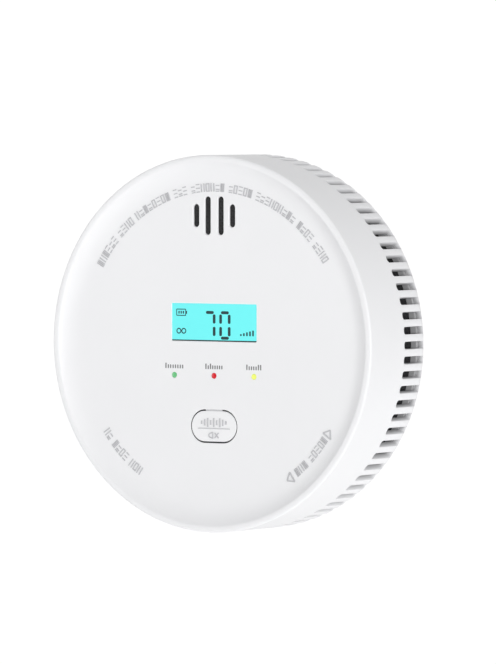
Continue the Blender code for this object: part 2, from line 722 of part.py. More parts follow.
def display():
    """Lens, glass, backlight, the frame round them and the two rubber strips that carry the signals."""
    centre = (0, WINDOW_Y)
    flange_back = FACE_INSIDE - GAP - 0.5 * MM
    lens = prism(
        "display_lens",
        [rectangle(WINDOW_WIDTH + 2.4 * MM, WINDOW_HEIGHT + 2.4 * MM, centre)],
        flange_back,
        FACE_INSIDE - GAP,
        "clear_lens",
    )
    window = rectangle(WINDOW_WIDTH - 2 * GAP, WINDOW_HEIGHT - 2 * GAP, centre)
    join(lens, prism("lens_window", [window], flange_back + 0.25 * MM, FACE - LENS_RECESS, "clear_lens"))

    glass_front = flange_back - GAP
    glass_back = glass_front - GLASS_THICKNESS
    prism("display_glass", [rectangle(GLASS_WIDTH, GLASS_HEIGHT, centre)], glass_back, glass_front, "lit_glass")

    light_top = min(ON_BOARD + BACKLIGHT_THICKNESS, glass_back - GAP)
    light = rectangle(GLASS_WIDTH - 1 * MM, GLASS_HEIGHT - 3 * MM, centre)
    prism("display_backlight", [light], ON_BOARD, light_top, "lit_glass")

    strip_height = 1.0 * MM
    for name, side in (("display_strip_upper", 1), ("display_strip_lower", -1)):
        y = WINDOW_Y + side * (GLASS_HEIGHT / 2 - 0.1 * MM - strip_height / 2)
        strip = rectangle(GLASS_WIDTH - 2 * MM, strip_height, (0, y))
        prism(name, [strip], ON_BOARD, glass_back - GAP, "rubber_grey")

    rim = 0.8 * MM
    frame = prism(
        "display_frame",
        [rectangle(GLASS_WIDTH + 2 * (GAP + rim), GLASS_HEIGHT + 2 * (GAP + rim), centre)],
        ON_BOARD,
        glass_front,
        "white_abs",
    )
    space = rectangle(GLASS_WIDTH + 2 * GAP, GLASS_HEIGHT + 2 * GAP, centre)
    cut(frame, prism("frame_space", [space], ON_BOARD - WALL, glass_front + WALL))


def lamps():
    """Three lamps on the board, each under a coloured light pipe that ends in the face."""
    flange = (FACE_INSIDE - GAP - 0.4 * MM, FACE_INSIDE - GAP)
    shaft = LAMP_HOLE_RADIUS - GAP
    foot, body = 1.8 * MM, 1.5 * MM
    dome_top = flange[0] - GAP
    straight = dome_top - 0.8 * MM
    lamp_profile = [
        (0, ON_BOARD),
        (foot, ON_BOARD),
        (foot, ON_BOARD + 0.6 * MM),
        (body, ON_BOARD + 0.6 * MM),
        (body, straight),
        (0.6 * body, dome_top - 0.15 * MM),
        (0, dome_top),
    ]
    pipe_profile = [
        (0, flange[0]),
        (1.6 * MM, flange[0]),
        (1.6 * MM, flange[1]),
        (shaft, flange[1]),
        (shaft, FACE),
        (0, FACE),
    ]
    for k, (name, colour) in enumerate((("power", "green"), ("alarm", "red"), ("fault", "yellow"))):
        at = ((k - 1) * LAMP_SPACING, LAMP_Y, 0)
        lathe(f"lamp_{name}", lamp_profile, f"{colour}_light", at, steps=12)
        lathe(f"light_pipe_{name}", pipe_profile, f"{colour}_light", at, steps=16)


def button_and_switch():
    """The test button hangs from its upper edge, where its origin is, over the plunger of a switch."""
    switch_top = ON_BOARD + SWITCH_HEIGHT
    plunger_top = switch_top + PLUNGER_RISE
    bore = PLUNGER_RADIUS + GAP
    centre = (0, BUTTON_Y)
    switch = prism(
        "test_switch", [rectangle(SWITCH_SIDE, SWITCH_SIDE, centre)], ON_BOARD, switch_top, "black_plastic"
    )
    bore_floor = ON_BOARD + 0.5 * MM
    cut(switch, prism("switch_bore", [circle(bore, centre, 16)], bore_floor, switch_top + WALL))
    plunger_foot = bore_floor + 0.5 * MM
    plunger = [(0, plunger_foot), (PLUNGER_RADIUS, plunger_foot), (PLUNGER_RADIUS, plunger_top)]
    plunger.append((0, plunger_top))
    lathe("switch_plunger", plunger, "rubber_grey", (0, BUTTON_Y, 0), steps=16)

    width = BUTTON_WIDTH - 2 * BUTTON_GAP
    height = BUTTON_HEIGHT - 2 * BUTTON_GAP
    hinge = (0, BUTTON_Y + height / 2, FACE - BUTTON_THICKNESS / 2)
    cap = [stadium(width, height, (0, -height / 2), steps=10)]
    half = BUTTON_THICKNESS / 2
    button = prism("test_button", cap, -half, half, at=hinge)
    stem = [circle(1.3 * MM, (0, -height / 2), 12)]
    stem_end = plunger_top + GAP - hinge[2]
    join(button, prism("button_stem", stem, stem_end, 0, at=hinge))


def sounder():
    """A cup behind the sound slots with a piezo disc on its ledge, and a dust screen with pads in the slots."""
    screen_front = FACE_INSIDE - GAP
    screen_back = screen_front - 0.4 * MM
    mouth = screen_back - GAP
    back = mouth - SOUNDER_DEPTH
    ledge = back + 3.5 * MM
    inside = SOUNDER_RADIUS - SOUNDER_WALL
    seat = inside - 1.2 * MM
    at = (0, SOUND_Y, 0)
    cup = [
        (0, back),
        (SOUNDER_RADIUS, back),
        (SOUNDER_RADIUS, mouth),
        (inside, mouth),
        (inside, ledge),
        (seat, ledge),
        (seat, back + SOUNDER_WALL),
        (0, back + SOUNDER_WALL),
    ]
    lathe("sounder_cup", cup, "black_plastic", at, steps=32)
    disc_back = ledge + GAP
    disc_radius = inside - GAP
    disc = [(0, disc_back), (disc_radius, disc_back), (disc_radius, disc_back + 0.4 * MM)]
    disc.append((0, disc_back + 0.4 * MM))
    lathe("piezo_disc", disc, "brass", at, steps=24)
    screen = [(0, screen_back), (SOUNDER_RADIUS - GAP, screen_back)]
    screen += [(SOUNDER_RADIUS - GAP, screen_front), (0, screen_front)]
    dust_screen = lathe("sounder_screen", screen, "black_mesh", at, steps=32)
    pads = sound_slots(SOUND_SLOT_WIDTH - 2 * GAP, -2 * GAP)
    join(dust_screen, prism("sound_pads", pads, screen_front - 0.2 * MM, FACE - SOUND_PAD_RECESS))


def gas_sensor():
    """A can that hangs under the board, and the cap with the gas inlet at its lower end."""
    cap_back = FLOOR_FRONT + SENSOR_CLEARANCE
    can_back = cap_back + SENSOR_CAP_HEIGHT + GAP
    at = (SENSOR_X, -(BAY_EDGE + SENSOR_TO_BAY + SENSOR_RADIUS), 0)
    edge = 0.6 * MM
    can = [
        (0, can_back),
        (SENSOR_RADIUS, can_back),
        (SENSOR_RADIUS, UNDER_BOARD - edge),
        (SENSOR_RADIUS - edge, UNDER_BOARD),
        (0, UNDER_BOARD),
    ]
    lathe("gas_sensor_can", can, "steel", at, steps=32)
    inlet = 1.5 * MM
    rim = SENSOR_RADIUS - 0.5 * MM
    cap = [(inlet, cap_back), (rim - edge, cap_back), (rim, cap_back + edge)]
    cap += [(rim, cap_back + SENSOR_CAP_HEIGHT), (inlet, cap_back + SENSOR_CAP_HEIGHT)]
    lathe("gas_sensor_cap", cap, "white_abs", at, steps=32)


def vent_screen():
    """The insect screen that stands behind the cover's vents."""
    inside = SCREEN_RADIUS - SCREEN_THICKNESS
    low, high = FLOOR_FRONT + GAP, VENT_FRONT + 1.0 * MM
    profile = [(inside, low), (SCREEN_RADIUS, low), (SCREEN_RADIUS, high), (inside, high)]
    lathe("vent_screen", profile, "black_mesh", steps=64)


def sounder_wires():
    """Two leads that come round the board's straight edge from the sounder to its front."""
    radius = 0.5 * MM
    cup_edge = SOUND_Y - SOUNDER_RADIUS - GAP
    halfway = (cup_edge + BOARD_TOP_Y) / 2
    over = ON_BOARD + radius
    start = BOARD_BACK - 3 * MM
    end = BOARD_TOP_Y - 2.5 * MM
    for name, x in (("sounder_wire_red", -2 * MM), ("sounder_wire_black", 2 * MM)):
        data = bpy.data.curves.new(name, "CURVE")
        data.dimensions = "3D"
        data.bevel_depth = radius
        data.bevel_resolution = 1
        data.use_fill_caps = True
        data.materials.append(finish("red_light" if name.endswith("red") else "black_plastic"))
        path = [(cup_edge, start), (halfway, start), (halfway, over), (end, over)]
        spline = data.splines.new("POLY")
        spline.points.add(len(path) - 1)
        for point, (y, z) in zip(spline.points, path):
            point.co = (x, y, z, 1)
        place(bpy.data.objects.new(name, data))


def small_components():
    chips = (("microcontroller", 10 * MM, (-17 * MM, -20 * MM)), ("display_driver", 7 * MM, (23 * MM, -12 * MM)))
    for name, side, centre in chips:
        outline = [rectangle(side, side, centre)]
        prism(name, outline, ON_BOARD, ON_BOARD + 1.2 * MM, "black_plastic")
    crystal = [stadium(8 * MM, 3.4 * MM, (-19 * MM, -30 * MM), steps=5)]
    prism("crystal", crystal, ON_BOARD, ON_BOARD + 2.6 * MM, "steel")

    edge = 0.4 * MM
    for name, radius, height, x, from_bay, material in (
        ("capacitor", 4.0 * MM, 10 * MM, -14 * MM, 4.95 * MM, "black_plastic"),
        ("boost_inductor", 4.5 * MM, 7 * MM, -25 * MM, 2.45 * MM, "ferrite"),
    ):
        low = UNDER_BOARD - height
        profile = [(0, low), (radius - edge, low), (radius, low + edge)]
        profile += [(radius, UNDER_BOARD), (0, UNDER_BOARD)]
        lathe(name, profile, material, (x, -(BAY_EDGE + from_bay + radius), 0), steps=20)


# ================================================================ the whole alarm
def build():
    clear_scene()
    make_frame()
    mounting_bracket()
    rear_housing()
    battery_cover()
    battery("battery_upper", 1)
    battery("battery_lower", -1)
    battery_contacts()
    vent_screen()
    front_cover()
    screws()
    circuit_board()
    display()
    lamps()
    button_and_switch()
    sounder()
    sounder_wires()
    gas_sensor()
    small_components()


build()
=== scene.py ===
# %% [markdown]
# # A round carbon monoxide alarm
# A white moulded alarm that hangs on a wall: a dished face with a display, three lamps and a test
# button, a side with eighty vents, and behind it a rear housing, a battery door and a wall bracket. The
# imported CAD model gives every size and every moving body. This lesson puts the fine surfaces and
# finishes on it.

import json
from math import asin, cos, degrees, hypot, pi, radians, sin, sqrt

import bmesh
import bpy
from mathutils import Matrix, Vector


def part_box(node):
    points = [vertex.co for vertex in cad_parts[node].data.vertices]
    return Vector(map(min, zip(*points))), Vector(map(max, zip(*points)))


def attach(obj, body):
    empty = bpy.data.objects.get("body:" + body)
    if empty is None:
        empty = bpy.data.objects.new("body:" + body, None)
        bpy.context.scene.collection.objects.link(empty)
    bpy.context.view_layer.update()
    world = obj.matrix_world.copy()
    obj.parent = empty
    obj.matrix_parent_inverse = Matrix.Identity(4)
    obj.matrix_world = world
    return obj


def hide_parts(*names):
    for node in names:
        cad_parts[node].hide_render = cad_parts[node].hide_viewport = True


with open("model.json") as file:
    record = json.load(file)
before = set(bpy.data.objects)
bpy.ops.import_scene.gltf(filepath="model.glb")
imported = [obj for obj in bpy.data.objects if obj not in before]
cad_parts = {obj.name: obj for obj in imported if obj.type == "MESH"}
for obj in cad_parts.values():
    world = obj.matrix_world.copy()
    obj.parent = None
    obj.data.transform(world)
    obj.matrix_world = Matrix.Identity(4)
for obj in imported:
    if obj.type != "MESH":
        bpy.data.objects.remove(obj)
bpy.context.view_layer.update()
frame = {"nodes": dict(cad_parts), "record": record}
MM = 0.001

# %% [markdown]
# ## Sizes that the frame gives
# The alarm hangs with its back on the plane Y = 0 and looks along -Y. Everything below is drawn face
# up, as x to the right, y up the wall and a depth out from the wall, and then stood up. Reading the
# sizes from the frame, instead of typing them again, keeps the looks and the solids the same.

# %% Read the main sizes
cover_low, cover_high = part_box("front_cover")
floor_low, floor_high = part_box("rear_housing")
pipe_low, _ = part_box("light_pipe_power")
button_low, button_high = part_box("test_button")
lens_low, lens_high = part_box("display_lens")
screen_low, screen_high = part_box("vent_screen")



def centre_of(low, high):
    """The middle of a box, as it is seen from the front."""
    return (low.x + high.x) / 2, (low.z + high.z) / 2


BODY_RADIUS = round(cover_high.x, 4)
DEPTH = -cover_low.y
FACE = -pipe_low.y
FLOOR_BACK = -floor_high.y
FLOOR_FRONT = -screen_high.y - 0.3 * MM
VENT_REAR = FLOOR_FRONT - 0.6 * MM
VENT_FRONT = -screen_low.y - 1.0 * MM
WINDOW = (26.6 * MM, 10.0 * MM)
print(f"radius {BODY_RADIUS / MM:.1f} mm, depth {DEPTH / MM:.1f} mm, flat face at {FACE / MM:.1f} mm")
print(f"vents from {VENT_REAR / MM:.1f} to {VENT_FRONT / MM:.1f} mm from the wall")


# %% [markdown]
# ## Shader maths as sums
# A procedural material is a sum of small signals: a fine grain, a slow drift of tone, a mask for dust.
# Nodes could be added one by one, but then the sum gets lost among links. Here a Signal holds one
# output socket, and adding or multiplying two of them adds the Math node. One method of Finish adds any
# other node.

# %% Shader helpers
class Signal:
    """One output socket, with arithmetic."""

    def __init__(self, nodes, socket):
        self.nodes, self.socket = nodes, socket

    def maths(self, operation, first, second):
        return self.nodes.node("ShaderNodeMath", {"operation": operation}, {0: first, 1: second})

    def __add__(self, other):
        return self.maths("ADD", self, other)

    def __radd__(self, other):
        return self.maths("ADD", other, self)

    def __sub__(self, other):
        return self.maths("SUBTRACT", self, other)

    def __rsub__(self, other):
        return self.maths("SUBTRACT", other, self)

    def __mul__(self, other):
        return self.maths("MULTIPLY", self, other)

    def __rmul__(self, other):
        return self.maths("MULTIPLY", other, self)


class Nodes:
    """A tree of shader nodes, with one method that adds any node."""

    def __init__(self, tree):
        self.tree = tree

    def node(self, kind, settings=None, sockets=None, output=0):
        node = self.tree.nodes.new(kind)
        for setting, value in (settings or {}).items():
            if setting == "stops":
                for stop, (position, shade) in zip(node.color_ramp.elements, value):
                    stop.position, stop.color = position, shade
            else:
                setattr(node, setting, value)
        for socket, value in (sockets or {}).items():
            if isinstance(value, Signal):
                self.tree.links.new(value.socket, node.inputs[socket])
            else:
                node.inputs[socket].default_value = value
        return Signal(self, node.outputs[output])


class Finish(Nodes):
    """A material with a Principled shader."""

    def __init__(self, name, **constants):
        self.material = bpy.data.materials.new(name)
        self.material.use_nodes = True
        super().__init__(self.material.node_tree)
        self.shader = self.tree.nodes["Principled BSDF"]
        for socket, value in constants.items():
            self.shader.inputs[socket.replace("_", " ")].default_value = value
        self.place = self.node("ShaderNodeTexCoord", output="Object")

    def noise(self, size, detail=2.0, seed=0.0):
        """Soft noise from 0 to 1, whose lumps are about that size in metres."""
        shift = {0: self.place, 1: (seed, seed, seed)}
        place = self.node("ShaderNodeVectorMath", {"operation": "ADD"}, shift)
        return self.node("ShaderNodeTexNoise", {}, {"Vector": place, "Scale": 1 / size, "Detail": detail})

    def mix(self, factor, first, second):
        """A colour between two, each a signal or four numbers."""
        return self.node("ShaderNodeMix", {"data_type": "RGBA"}, {"Factor": factor, 6: first, 7: second}, 2)

    def blend(self, factor, low, high):
        """A colour between two plain colours, by a signal."""
        return self.mix(factor, (*low, 1), (*high, 1))

    def drive(self, socket, signal):
        self.tree.links.new(signal.socket, self.shader.inputs[socket])

    def bump(self, height, distance, strength=1.0):
        sockets = {"Height": height, "Distance": distance, "Strength": strength}
        self.drive("Normal", self.node("ShaderNodeBump", {}, sockets))


print("shader helpers ready")

# %% [markdown]
# ## The white plastic
# The cover, housing and bracket are moulded in white ABS from a finely eroded steel mould. Up close its
# skin is a fine even grain; from afar it is satin, with the faintest drift of tone. The grain could be
# modelled, but it is under a tenth of a millimetre deep, so a bump from fine noise does it, and slower
# noise moves the roughness and the tone a little.


# %% White and black plastics
def moulded(name, low, high, roughness, grain=0.25 * MM, shaded=None, **constants):
    """Moulded plastic: tone between two colours, satin that drifts, a fine skin, and any painted shade over
    the tone.
    """
    finish = Finish(name, **constants)
    drift = finish.noise(18 * MM, 3.0)
    skin = finish.noise(grain, 2.0, seed=0.3)
    tone = finish.blend(drift, low, high)
    finish.drive("Base Color", shaded(finish, drift, tone) if shaded else tone)
    finish.drive("Roughness", roughness - 0.04 + 0.05 * drift + 0.06 * skin)
    finish.bump(skin, 0.02 * MM, 0.35)
    return finish.material


WHITE = ((0.855, 0.857, 0.872), (0.885, 0.887, 0.9))
white = moulded("white_moulding", *WHITE, 0.42, Coat_Weight=0.05)
white_smooth = moulded("white_button", (0.865, 0.867, 0.88), (0.89, 0.892, 0.905), 0.34, grain=0.4 * MM)
# The marks are moulded in the same white; their grey is painted shade for the thin shadows round their
# edges.
white_raised_painted_shade = moulded("raised_marks_painted_shade", (0.52, 0.522, 0.54), (0.57, 0.572, 0.59), 0.5)
black = moulded("black_moulding", (0.012, 0.012, 0.013), (0.03, 0.03, 0.032), 0.5)
dark_rubber = moulded("signal_rubber", (0.12, 0.12, 0.13), (0.18, 0.18, 0.19), 0.75)
dull_ferrite = moulded("ferrite", (0.05, 0.045, 0.04), (0.09, 0.085, 0.08), 0.7, grain=0.6 * MM)
print("plastics:", white.name, white_smooth.name, black.name)


# %% [markdown]
# ## Woven screens, metals, lamps and ink
# Behind the vents and the sound slots stands a black woven screen that keeps insects out. Its weave is
# a grid of threads, drawn here as two crossed waves that drive both colour and bump. The metals get
# fine brushed scratches from stretched noise. The lamps are tinted pipes lit from inside, so part of
# their colour is emission.


# %% Woven screen
WAVE_SCALE = 0.314  # at this scale the bands of a wave lie a metre apart


def woven(name, pitch):
    """Two crossed sets of threads, one along the wall's height and one round or across it."""
    finish = Finish(name, Roughness=0.8)
    grid = {"Vector": finish.place, "Scale": WAVE_SCALE / pitch}
    warp = finish.node("ShaderNodeTexWave", {"bands_direction": "Z"}, grid)
    weft = finish.node("ShaderNodeTexWave", {"bands_direction": "DIAGONAL"}, grid)
    threads = warp.maths("MAXIMUM", warp, weft)
    lint = finish.noise(3 * MM)
    finish.drive("Base Color", finish.blend(threads * lint, (0.004, 0.004, 0.005), (0.035, 0.035, 0.038)))
    finish.bump(threads, 0.1 * MM, 0.6)
    return finish.material


mesh_black = woven("woven_screen", 0.8 * MM)
print("screen:", mesh_black.name)


# %% Metals
def metal(name, low, high, roughness, along=(1.0, 14.0, 14.0), size=3 * MM):
    """Drawn or rolled metal, with scratches along one way and a slow stain."""
    finish = Finish(name, Metallic=1.0)
    stretched = finish.node("ShaderNodeVectorMath", {"operation": "MULTIPLY"}, {0: finish.place, 1: along})
    grain = {"Vector": stretched, "Scale": 1 / size, "Detail": 4.0}
    scratches = finish.node("ShaderNodeTexNoise", {}, grain)
    stain = finish.noise(6 * MM, 3.0)
    finish.drive("Base Color", finish.blend(stain, low, high))
    finish.drive("Roughness", roughness - 0.08 + 0.22 * scratches)
    finish.bump(scratches, 0.01 * MM, 0.3)
    return finish.material


steel = metal("plated_steel", (0.55, 0.55, 0.56), (0.68, 0.68, 0.69), 0.3)
brass = metal("brass_disc", (0.62, 0.45, 0.18), (0.80, 0.62, 0.30), 0.32)
print("metals:", steel.name, brass.name)


# %% Lamps
def lit(name, colour, glow, strength):
    """A tinted pipe that light comes through, a little brighter in some places than in others."""
    finish = Finish(name, Roughness=0.25, Coat_Weight=0.3, Emission_Strength=strength)
    cloud = finish.noise(0.8 * MM, 2.0)
    deep = tuple(0.8 * part for part in colour)
    finish.drive("Base Color", finish.blend(cloud, deep, colour))
    finish.drive("Emission Color", finish.blend(cloud, tuple(0.85 * part for part in glow), glow))
    return finish.material


LAMPS = {
    "power": lit("green_lamp", (0.13, 0.44, 0.19), (0.07, 0.36, 0.12), 0.45),
    "alarm": lit("red_lamp", (0.58, 0.002, 0.01), (0.50, 0.0, 0.01), 0.35),
    "fault": lit("yellow_lamp", (0.74, 0.78, 0.14), (0.66, 0.78, 0.14), 0.40),
}
print("lamps:", ", ".join(LAMPS))


# %% Ink, display and glass
WINDOW_FOOT = 0.6 * MM


def ink(name, shade):
    """Pad-printed ink: even from afar, a little thin at the grain."""
    finish = Finish(name, Roughness=0.55)
    thin = finish.noise(0.15 * MM, 2.0)
    finish.drive("Base Color", finish.blend(thin, shade, tuple(1.15 * part for part in shade)))
    return finish.material


def display_light(name):
    """The lit glass: cyan, slightly brighter towards its upper right where the light guide is fed."""
    finish = Finish(name, Roughness=0.2, Emission_Strength=0.62)
    x, z = (finish.node("ShaderNodeSeparateXYZ", {}, {0: finish.place}, axis) for axis in "XZ")
    across = x * (0.5 / WINDOW[0]) + 0.5
    up = (z - WINDOW_FOOT) * (1 / WINDOW[1])
    guide = across * 0.5 + up * 0.3 + 0.2 * finish.noise(2 * MM)
    finish.drive("Base Color", finish.blend(guide, (0.075, 0.36, 0.37), (0.085, 0.40, 0.41)))
    finish.drive("Emission Color", finish.blend(guide, (0.135, 0.86, 0.86), (0.155, 0.94, 0.93)))
    return finish.material


grey_ink = ink("grey_ink", (0.165, 0.165, 0.17))
segment_ink = ink("display_segments", (0.008, 0.04, 0.045))
cyan = display_light("lit_display")
print("inks and display:", grey_ink.name, segment_ink.name, cyan.name)


# %% Board, cell and window
def board_finish():
    """Green solder mask over copper tracks, which show as raised bands."""
    finish = Finish("solder_mask", Coat_Weight=0.4)
    dark, light = (0, 0, 0, 1), (1, 1, 1, 1)
    bricks = {"Vector": finish.place, "Scale": 120.0, "Mortar Size": 0.03}
    bricks |= {"Color1": dark, "Color2": dark, "Mortar": light}
    cells = finish.node("ShaderNodeTexBrick", {"offset": 0.5}, bricks)
    finish.drive("Base Color", finish.blend(cells, (0.02, 0.13, 0.06), (0.05, 0.22, 0.10)))
    finish.drive("Roughness", 0.4 + 0.1 * finish.noise(2 * MM))
    finish.bump(cells, 0.03 * MM, 0.4)
    return finish.material


def cell_finish(name, low, high):
    """A plain shrunk sleeve with no print."""
    finish = Finish(name, Roughness=0.32, Coat_Weight=0.4)
    wrinkles = finish.noise(1.2 * MM, 4.0)
    finish.drive("Base Color", finish.blend(wrinkles, low, high))
    finish.bump(wrinkles, 0.04 * MM, 0.3)
    return finish.material


green_board = board_finish()
sleeve = cell_finish("cell_sleeve", (0.05, 0.055, 0.065), (0.10, 0.105, 0.12))
pale_sleeve = cell_finish("cell_band", (0.50, 0.51, 0.53), (0.58, 0.59, 0.61))
label_paper = moulded("label_paper", (0.70, 0.70, 0.69), (0.74, 0.74, 0.73), 0.6, grain=0.5 * MM)
clear = moulded("clear_window", (0.80, 0.93, 0.95), (0.86, 0.97, 0.98), 0.12, Alpha=0.35)
print("board, cell and window:", green_board.name, sleeve.name, clear.name)

# %% [markdown]
# ## Finish every CAD node that stays
# Most inner parts keep their CAD shape. Each one has a material slot in the record, and the record's
# slots are the plan for the finishes, so one table covers them all.

# %% Paint the CAD nodes
SLOTS = {
    "white_abs": white,
    "black_mesh": mesh_black,
    "black_plastic": black,
    "board_green": green_board,
    "clear_lens": clear,
    "lit_glass": cyan,
    "rubber_grey": dark_rubber,
    "green_light": LAMPS["power"],
    "red_light": LAMPS["alarm"],
    "yellow_light": LAMPS["fault"],
    "steel": steel,
    "brass": brass,
    "cell_wrap": sleeve,
    "ferrite": dull_ferrite,
}
for part in frame["record"]["subparts"]:
    mesh = frame["nodes"][part["node"]].data
    mesh.materials.clear()
    mesh.materials.append(SLOTS[part["material_slot"]])

# %% [markdown]
# ## Drawing helpers
# Every outline on the face is a rounded box: a circle and a long slot are rounded boxes too. An outline
# here is a function of how far it is grown, so the same outline at several sizes gives loops with equal
# counts, and a rounded edge is a strip between them. Booleans would be shorter to write, but they leave
# ragged triangles that shade badly on a glossy dish.


# %% Outlines
def rounded_box(width, height, corner, centre=(0, 0), steps=6):
    """An outline as a function of its growth."""

    def points(grow=0.0):
        reach_x, reach_y = width / 2 - corner, height / 2 - corner
        found = []
        for quarter, (side_x, side_y) in enumerate(((1, 1), (-1, 1), (-1, -1), (1, -1))):
            for k in range(steps + 1):
                angle = (quarter + k / steps) * pi / 2
                x = centre[0] + side_x * reach_x + (corner + grow) * cos(angle)
                y = centre[1] + side_y * reach_y + (corner + grow) * sin(angle)
                found.append((x, y))
        return without_repeats(found)

    return points


def without_repeats(points):
    """The points of a loop, each different from the one before it."""
    kept = [points[0]]
    for point in points[1:]:
        if hypot(point[0] - kept[-1][0], point[1] - kept[-1][1]) > 1e-8:
            kept.append(point)
    if hypot(kept[0][0] - kept[-1][0], kept[0][1] - kept[-1][1]) < 1e-8:
        kept.pop()
    return kept


def disc(radius, centre=(0, 0), steps=16):
    return rounded_box(2 * radius, 2 * radius, radius, centre, steps)


def arc_slot(radius, half_width, start, end, steps=24):
    """A slot along a circle, with round ends."""

    def points(grow=0.0):
        reach = half_width + grow
        along = [start + (end - start) * k / steps for k in range(steps + 1)]
        found = [polar(radius + reach, angle) for angle in along]
        found += around_end(polar(radius, end), reach, end)
        found += [polar(radius - reach, angle) for angle in reversed(along)]
        found += around_end(polar(radius, start), reach, start + pi)
        return found

    return points


def around_end(centre, reach, start, steps=8):
    turns = [start + pi * k / steps for k in range(1, steps)]
    return [(centre[0] + reach * cos(a), centre[1] + reach * sin(a)) for a in turns]


def polar(radius, angle):
    return radius * cos(angle), radius * sin(angle)


print("a test slot has", len(rounded_box(2 * MM, 10 * MM, 1 * MM)()), "points")


# %% [markdown]
# ## From loops to pieces
# A Shape gathers loops of points, joins them with strips, and fills flat areas, holes included.
# `rounded_edge` gives the sizes and depths of a quarter round, so that every edge of the moulding
# catches the light softly.


# %% Shapes
class Shape:
    """A mesh in the making, drawn as x, y and depth from the wall."""

    def __init__(self):
        self.bm = bmesh.new()

    def loop(self, points, depth):
        return [self.bm.verts.new((x, -depth, y)) for x, y in points]

    def strip(self, first, second):
        count = len(first)
        for k in range(count):
            following = (k + 1) % count
            self.bm.faces.new((first[k], first[following], second[following], second[k]))

    def strips(self, loops):
        for first, second in zip(loops, loops[1:]):
            self.strip(first, second)

    def fill(self, *loops):
        """A flat area inside the first loop and outside the others."""
        edges = []
        for loop in loops:
            for first, second in zip(loop, loop[1:] + loop[:1]):
                edges.append(self.bm.edges.get((first, second)) or self.bm.edges.new((first, second)))
        bmesh.ops.triangle_fill(self.bm, edges=edges, use_beauty=True)

    def solid(self, loops):
        """Strips through the loops, closed flat at both ends."""
        self.strips(loops)
        self.fill(loops[0])
        self.fill(loops[-1])

    def tube(self, loops):
        """Strips through the loops and back to the first: a ring of any section."""
        self.strips(loops + loops[:1])

    def block(self, corners, foot, top):
        """A low closed block; foot and top are depths as functions of the radius."""
        ends = [[self.bm.verts.new((x, -end(hypot(x, y)), y)) for x, y in corners] for end in (foot, top)]
        self.strip(*ends)
        for end in ends:
            self.bm.faces.new(end)

    def piece(self, name, body, slot, material, sharp=radians(38), nodes=()):
        """The finished object, riding on a CAD body and standing for CAD nodes."""
        bmesh.ops.remove_doubles(self.bm, verts=self.bm.verts, dist=1e-7)
        bmesh.ops.recalc_face_normals(self.bm, faces=self.bm.faces)
        mesh = bpy.data.meshes.new(name)
        self.bm.to_mesh(mesh)
        self.bm.free()
        mesh.shade_smooth()
        mesh.set_sharp_from_angle(angle=sharp)
        mesh.materials.append(material)
        made = bpy.data.objects.new(name, mesh)
        bpy.context.scene.collection.objects.link(made)
        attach(made, body)
        if nodes:
            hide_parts(*nodes)
        return made


def level(depth):
    """A flat surface, as a depth at any radius."""
    return lambda radius: depth


def rounded_edge(radius, steps=3):
    """(inset, drop) from the top of an edge's quarter round to its side."""
    turns = [pi / 2 * k / steps for k in range(steps + 1)]
    return [(radius * (1 - sin(t)), radius * (1 - cos(t))) for t in turns]


def plate(shape, outline, holes, back, front, edge=0.3 * MM):
    """A flat plate with holes, every edge rounded on both faces."""
    front_edge = [(inset, front - drop) for inset, drop in rounded_edge(edge)]
    back_edge = [(inset, back + drop) for inset, drop in reversed(rounded_edge(edge))]
    section = front_edge + back_edge
    body = [shape.loop(outline(-inset), depth) for inset, depth in section]
    walls = [[shape.loop(hole(inset), depth) for inset, depth in section] for hole in holes]
    for loops in [body] + walls:
        shape.strips(loops)
    shape.fill(body[0], *[loops[0] for loops in walls])
    shape.fill(body[-1], *[loops[-1] for loops in walls])


def rings(shape, profile, steps, centre=(0, 0)):
    """A loop for each (radius, depth) of a profile."""
    loops = []
    for radius, depth in profile:
        ring = [polar(max(radius, 1e-5), 2 * pi * k / steps) for k in range(steps)]
        loops.append(shape.loop([(x + centre[0], y + centre[1]) for x, y in ring], depth))
    return loops


def close_ends(shape, loops, radii):
    """Close a turned shape where its profile starts or ends at a radius of 0."""
    for end in (0, -1):
        if radii[end] == 0:
            shape.bm.faces.new(loops[end])


def turned(shape, profile, steps=96, centre=(0, 0)):
    """A profile of (radius, depth) turned about a line out of the wall; a radius of 0 closes it."""
    loops = rings(shape, profile, steps, centre)
    shape.strips(loops)
    close_ends(shape, loops, [radius for radius, _ in profile])


quarter = [(round(inset / MM, 2), round(drop / MM, 2)) for inset, drop in rounded_edge(0.3 * MM)]
print("a quarter round of 0.3 mm:", quarter)

# %% [markdown]
# ## The front cover
# One moulding: a flat face that sweeps up a shallow dish to a narrow rim, a straight side, eighty
# vents, and a rounded rear edge. Its section is a list of (radius, depth) points, and the vents are one
# tile repeated eighty times round it. The tile's own boundary points set the columns of every other
# ring, so the whole cover is one even mesh.

# %% Section of the cover
WALL = 2.0 * MM
VENTS = 80
PITCH = 2 * pi / VENTS
VENT_WIDTH = 2.0 * MM
VENT_CORNER = 0.75 * MM
VENT_MARGIN = 0.6 * MM
INSIDE = BODY_RADIUS - WALL
REAR_ROUNDING = 4.0 * MM
ROUNDING_END = radians(55)
ROUNDING_CENTRE = (BODY_RADIUS - REAR_ROUNDING, VENT_REAR + 2.1 * MM)
RIM_INSIDE = BODY_RADIUS - 1.94 * MM
FLAT_RADIUS = RIM_INSIDE - 8.4 * MM
DISH_RISE = DEPTH - 0.27 * MM - FACE
DISH_STEEPNESS = 3.2


def surface_depth(radius):
    """Depth of the face and its dish at a radius."""
    out = min(max((radius - FLAT_RADIUS) / (RIM_INSIDE - FLAT_RADIUS), 0), 1)
    return FACE + DISH_RISE * out**DISH_STEEPNESS


def side_radius(depth):
    """Radius of the side at a depth: straight, then in round the rear edge."""
    drop = ROUNDING_CENTRE[1] - depth
    if drop <= 0:
        return BODY_RADIUS
    return ROUNDING_CENTRE[0] + sqrt(REAR_ROUNDING**2 - drop**2)


print(f"dish: rises {DISH_RISE / MM:.2f} mm over {(RIM_INSIDE - FLAT_RADIUS) / MM:.1f} mm")
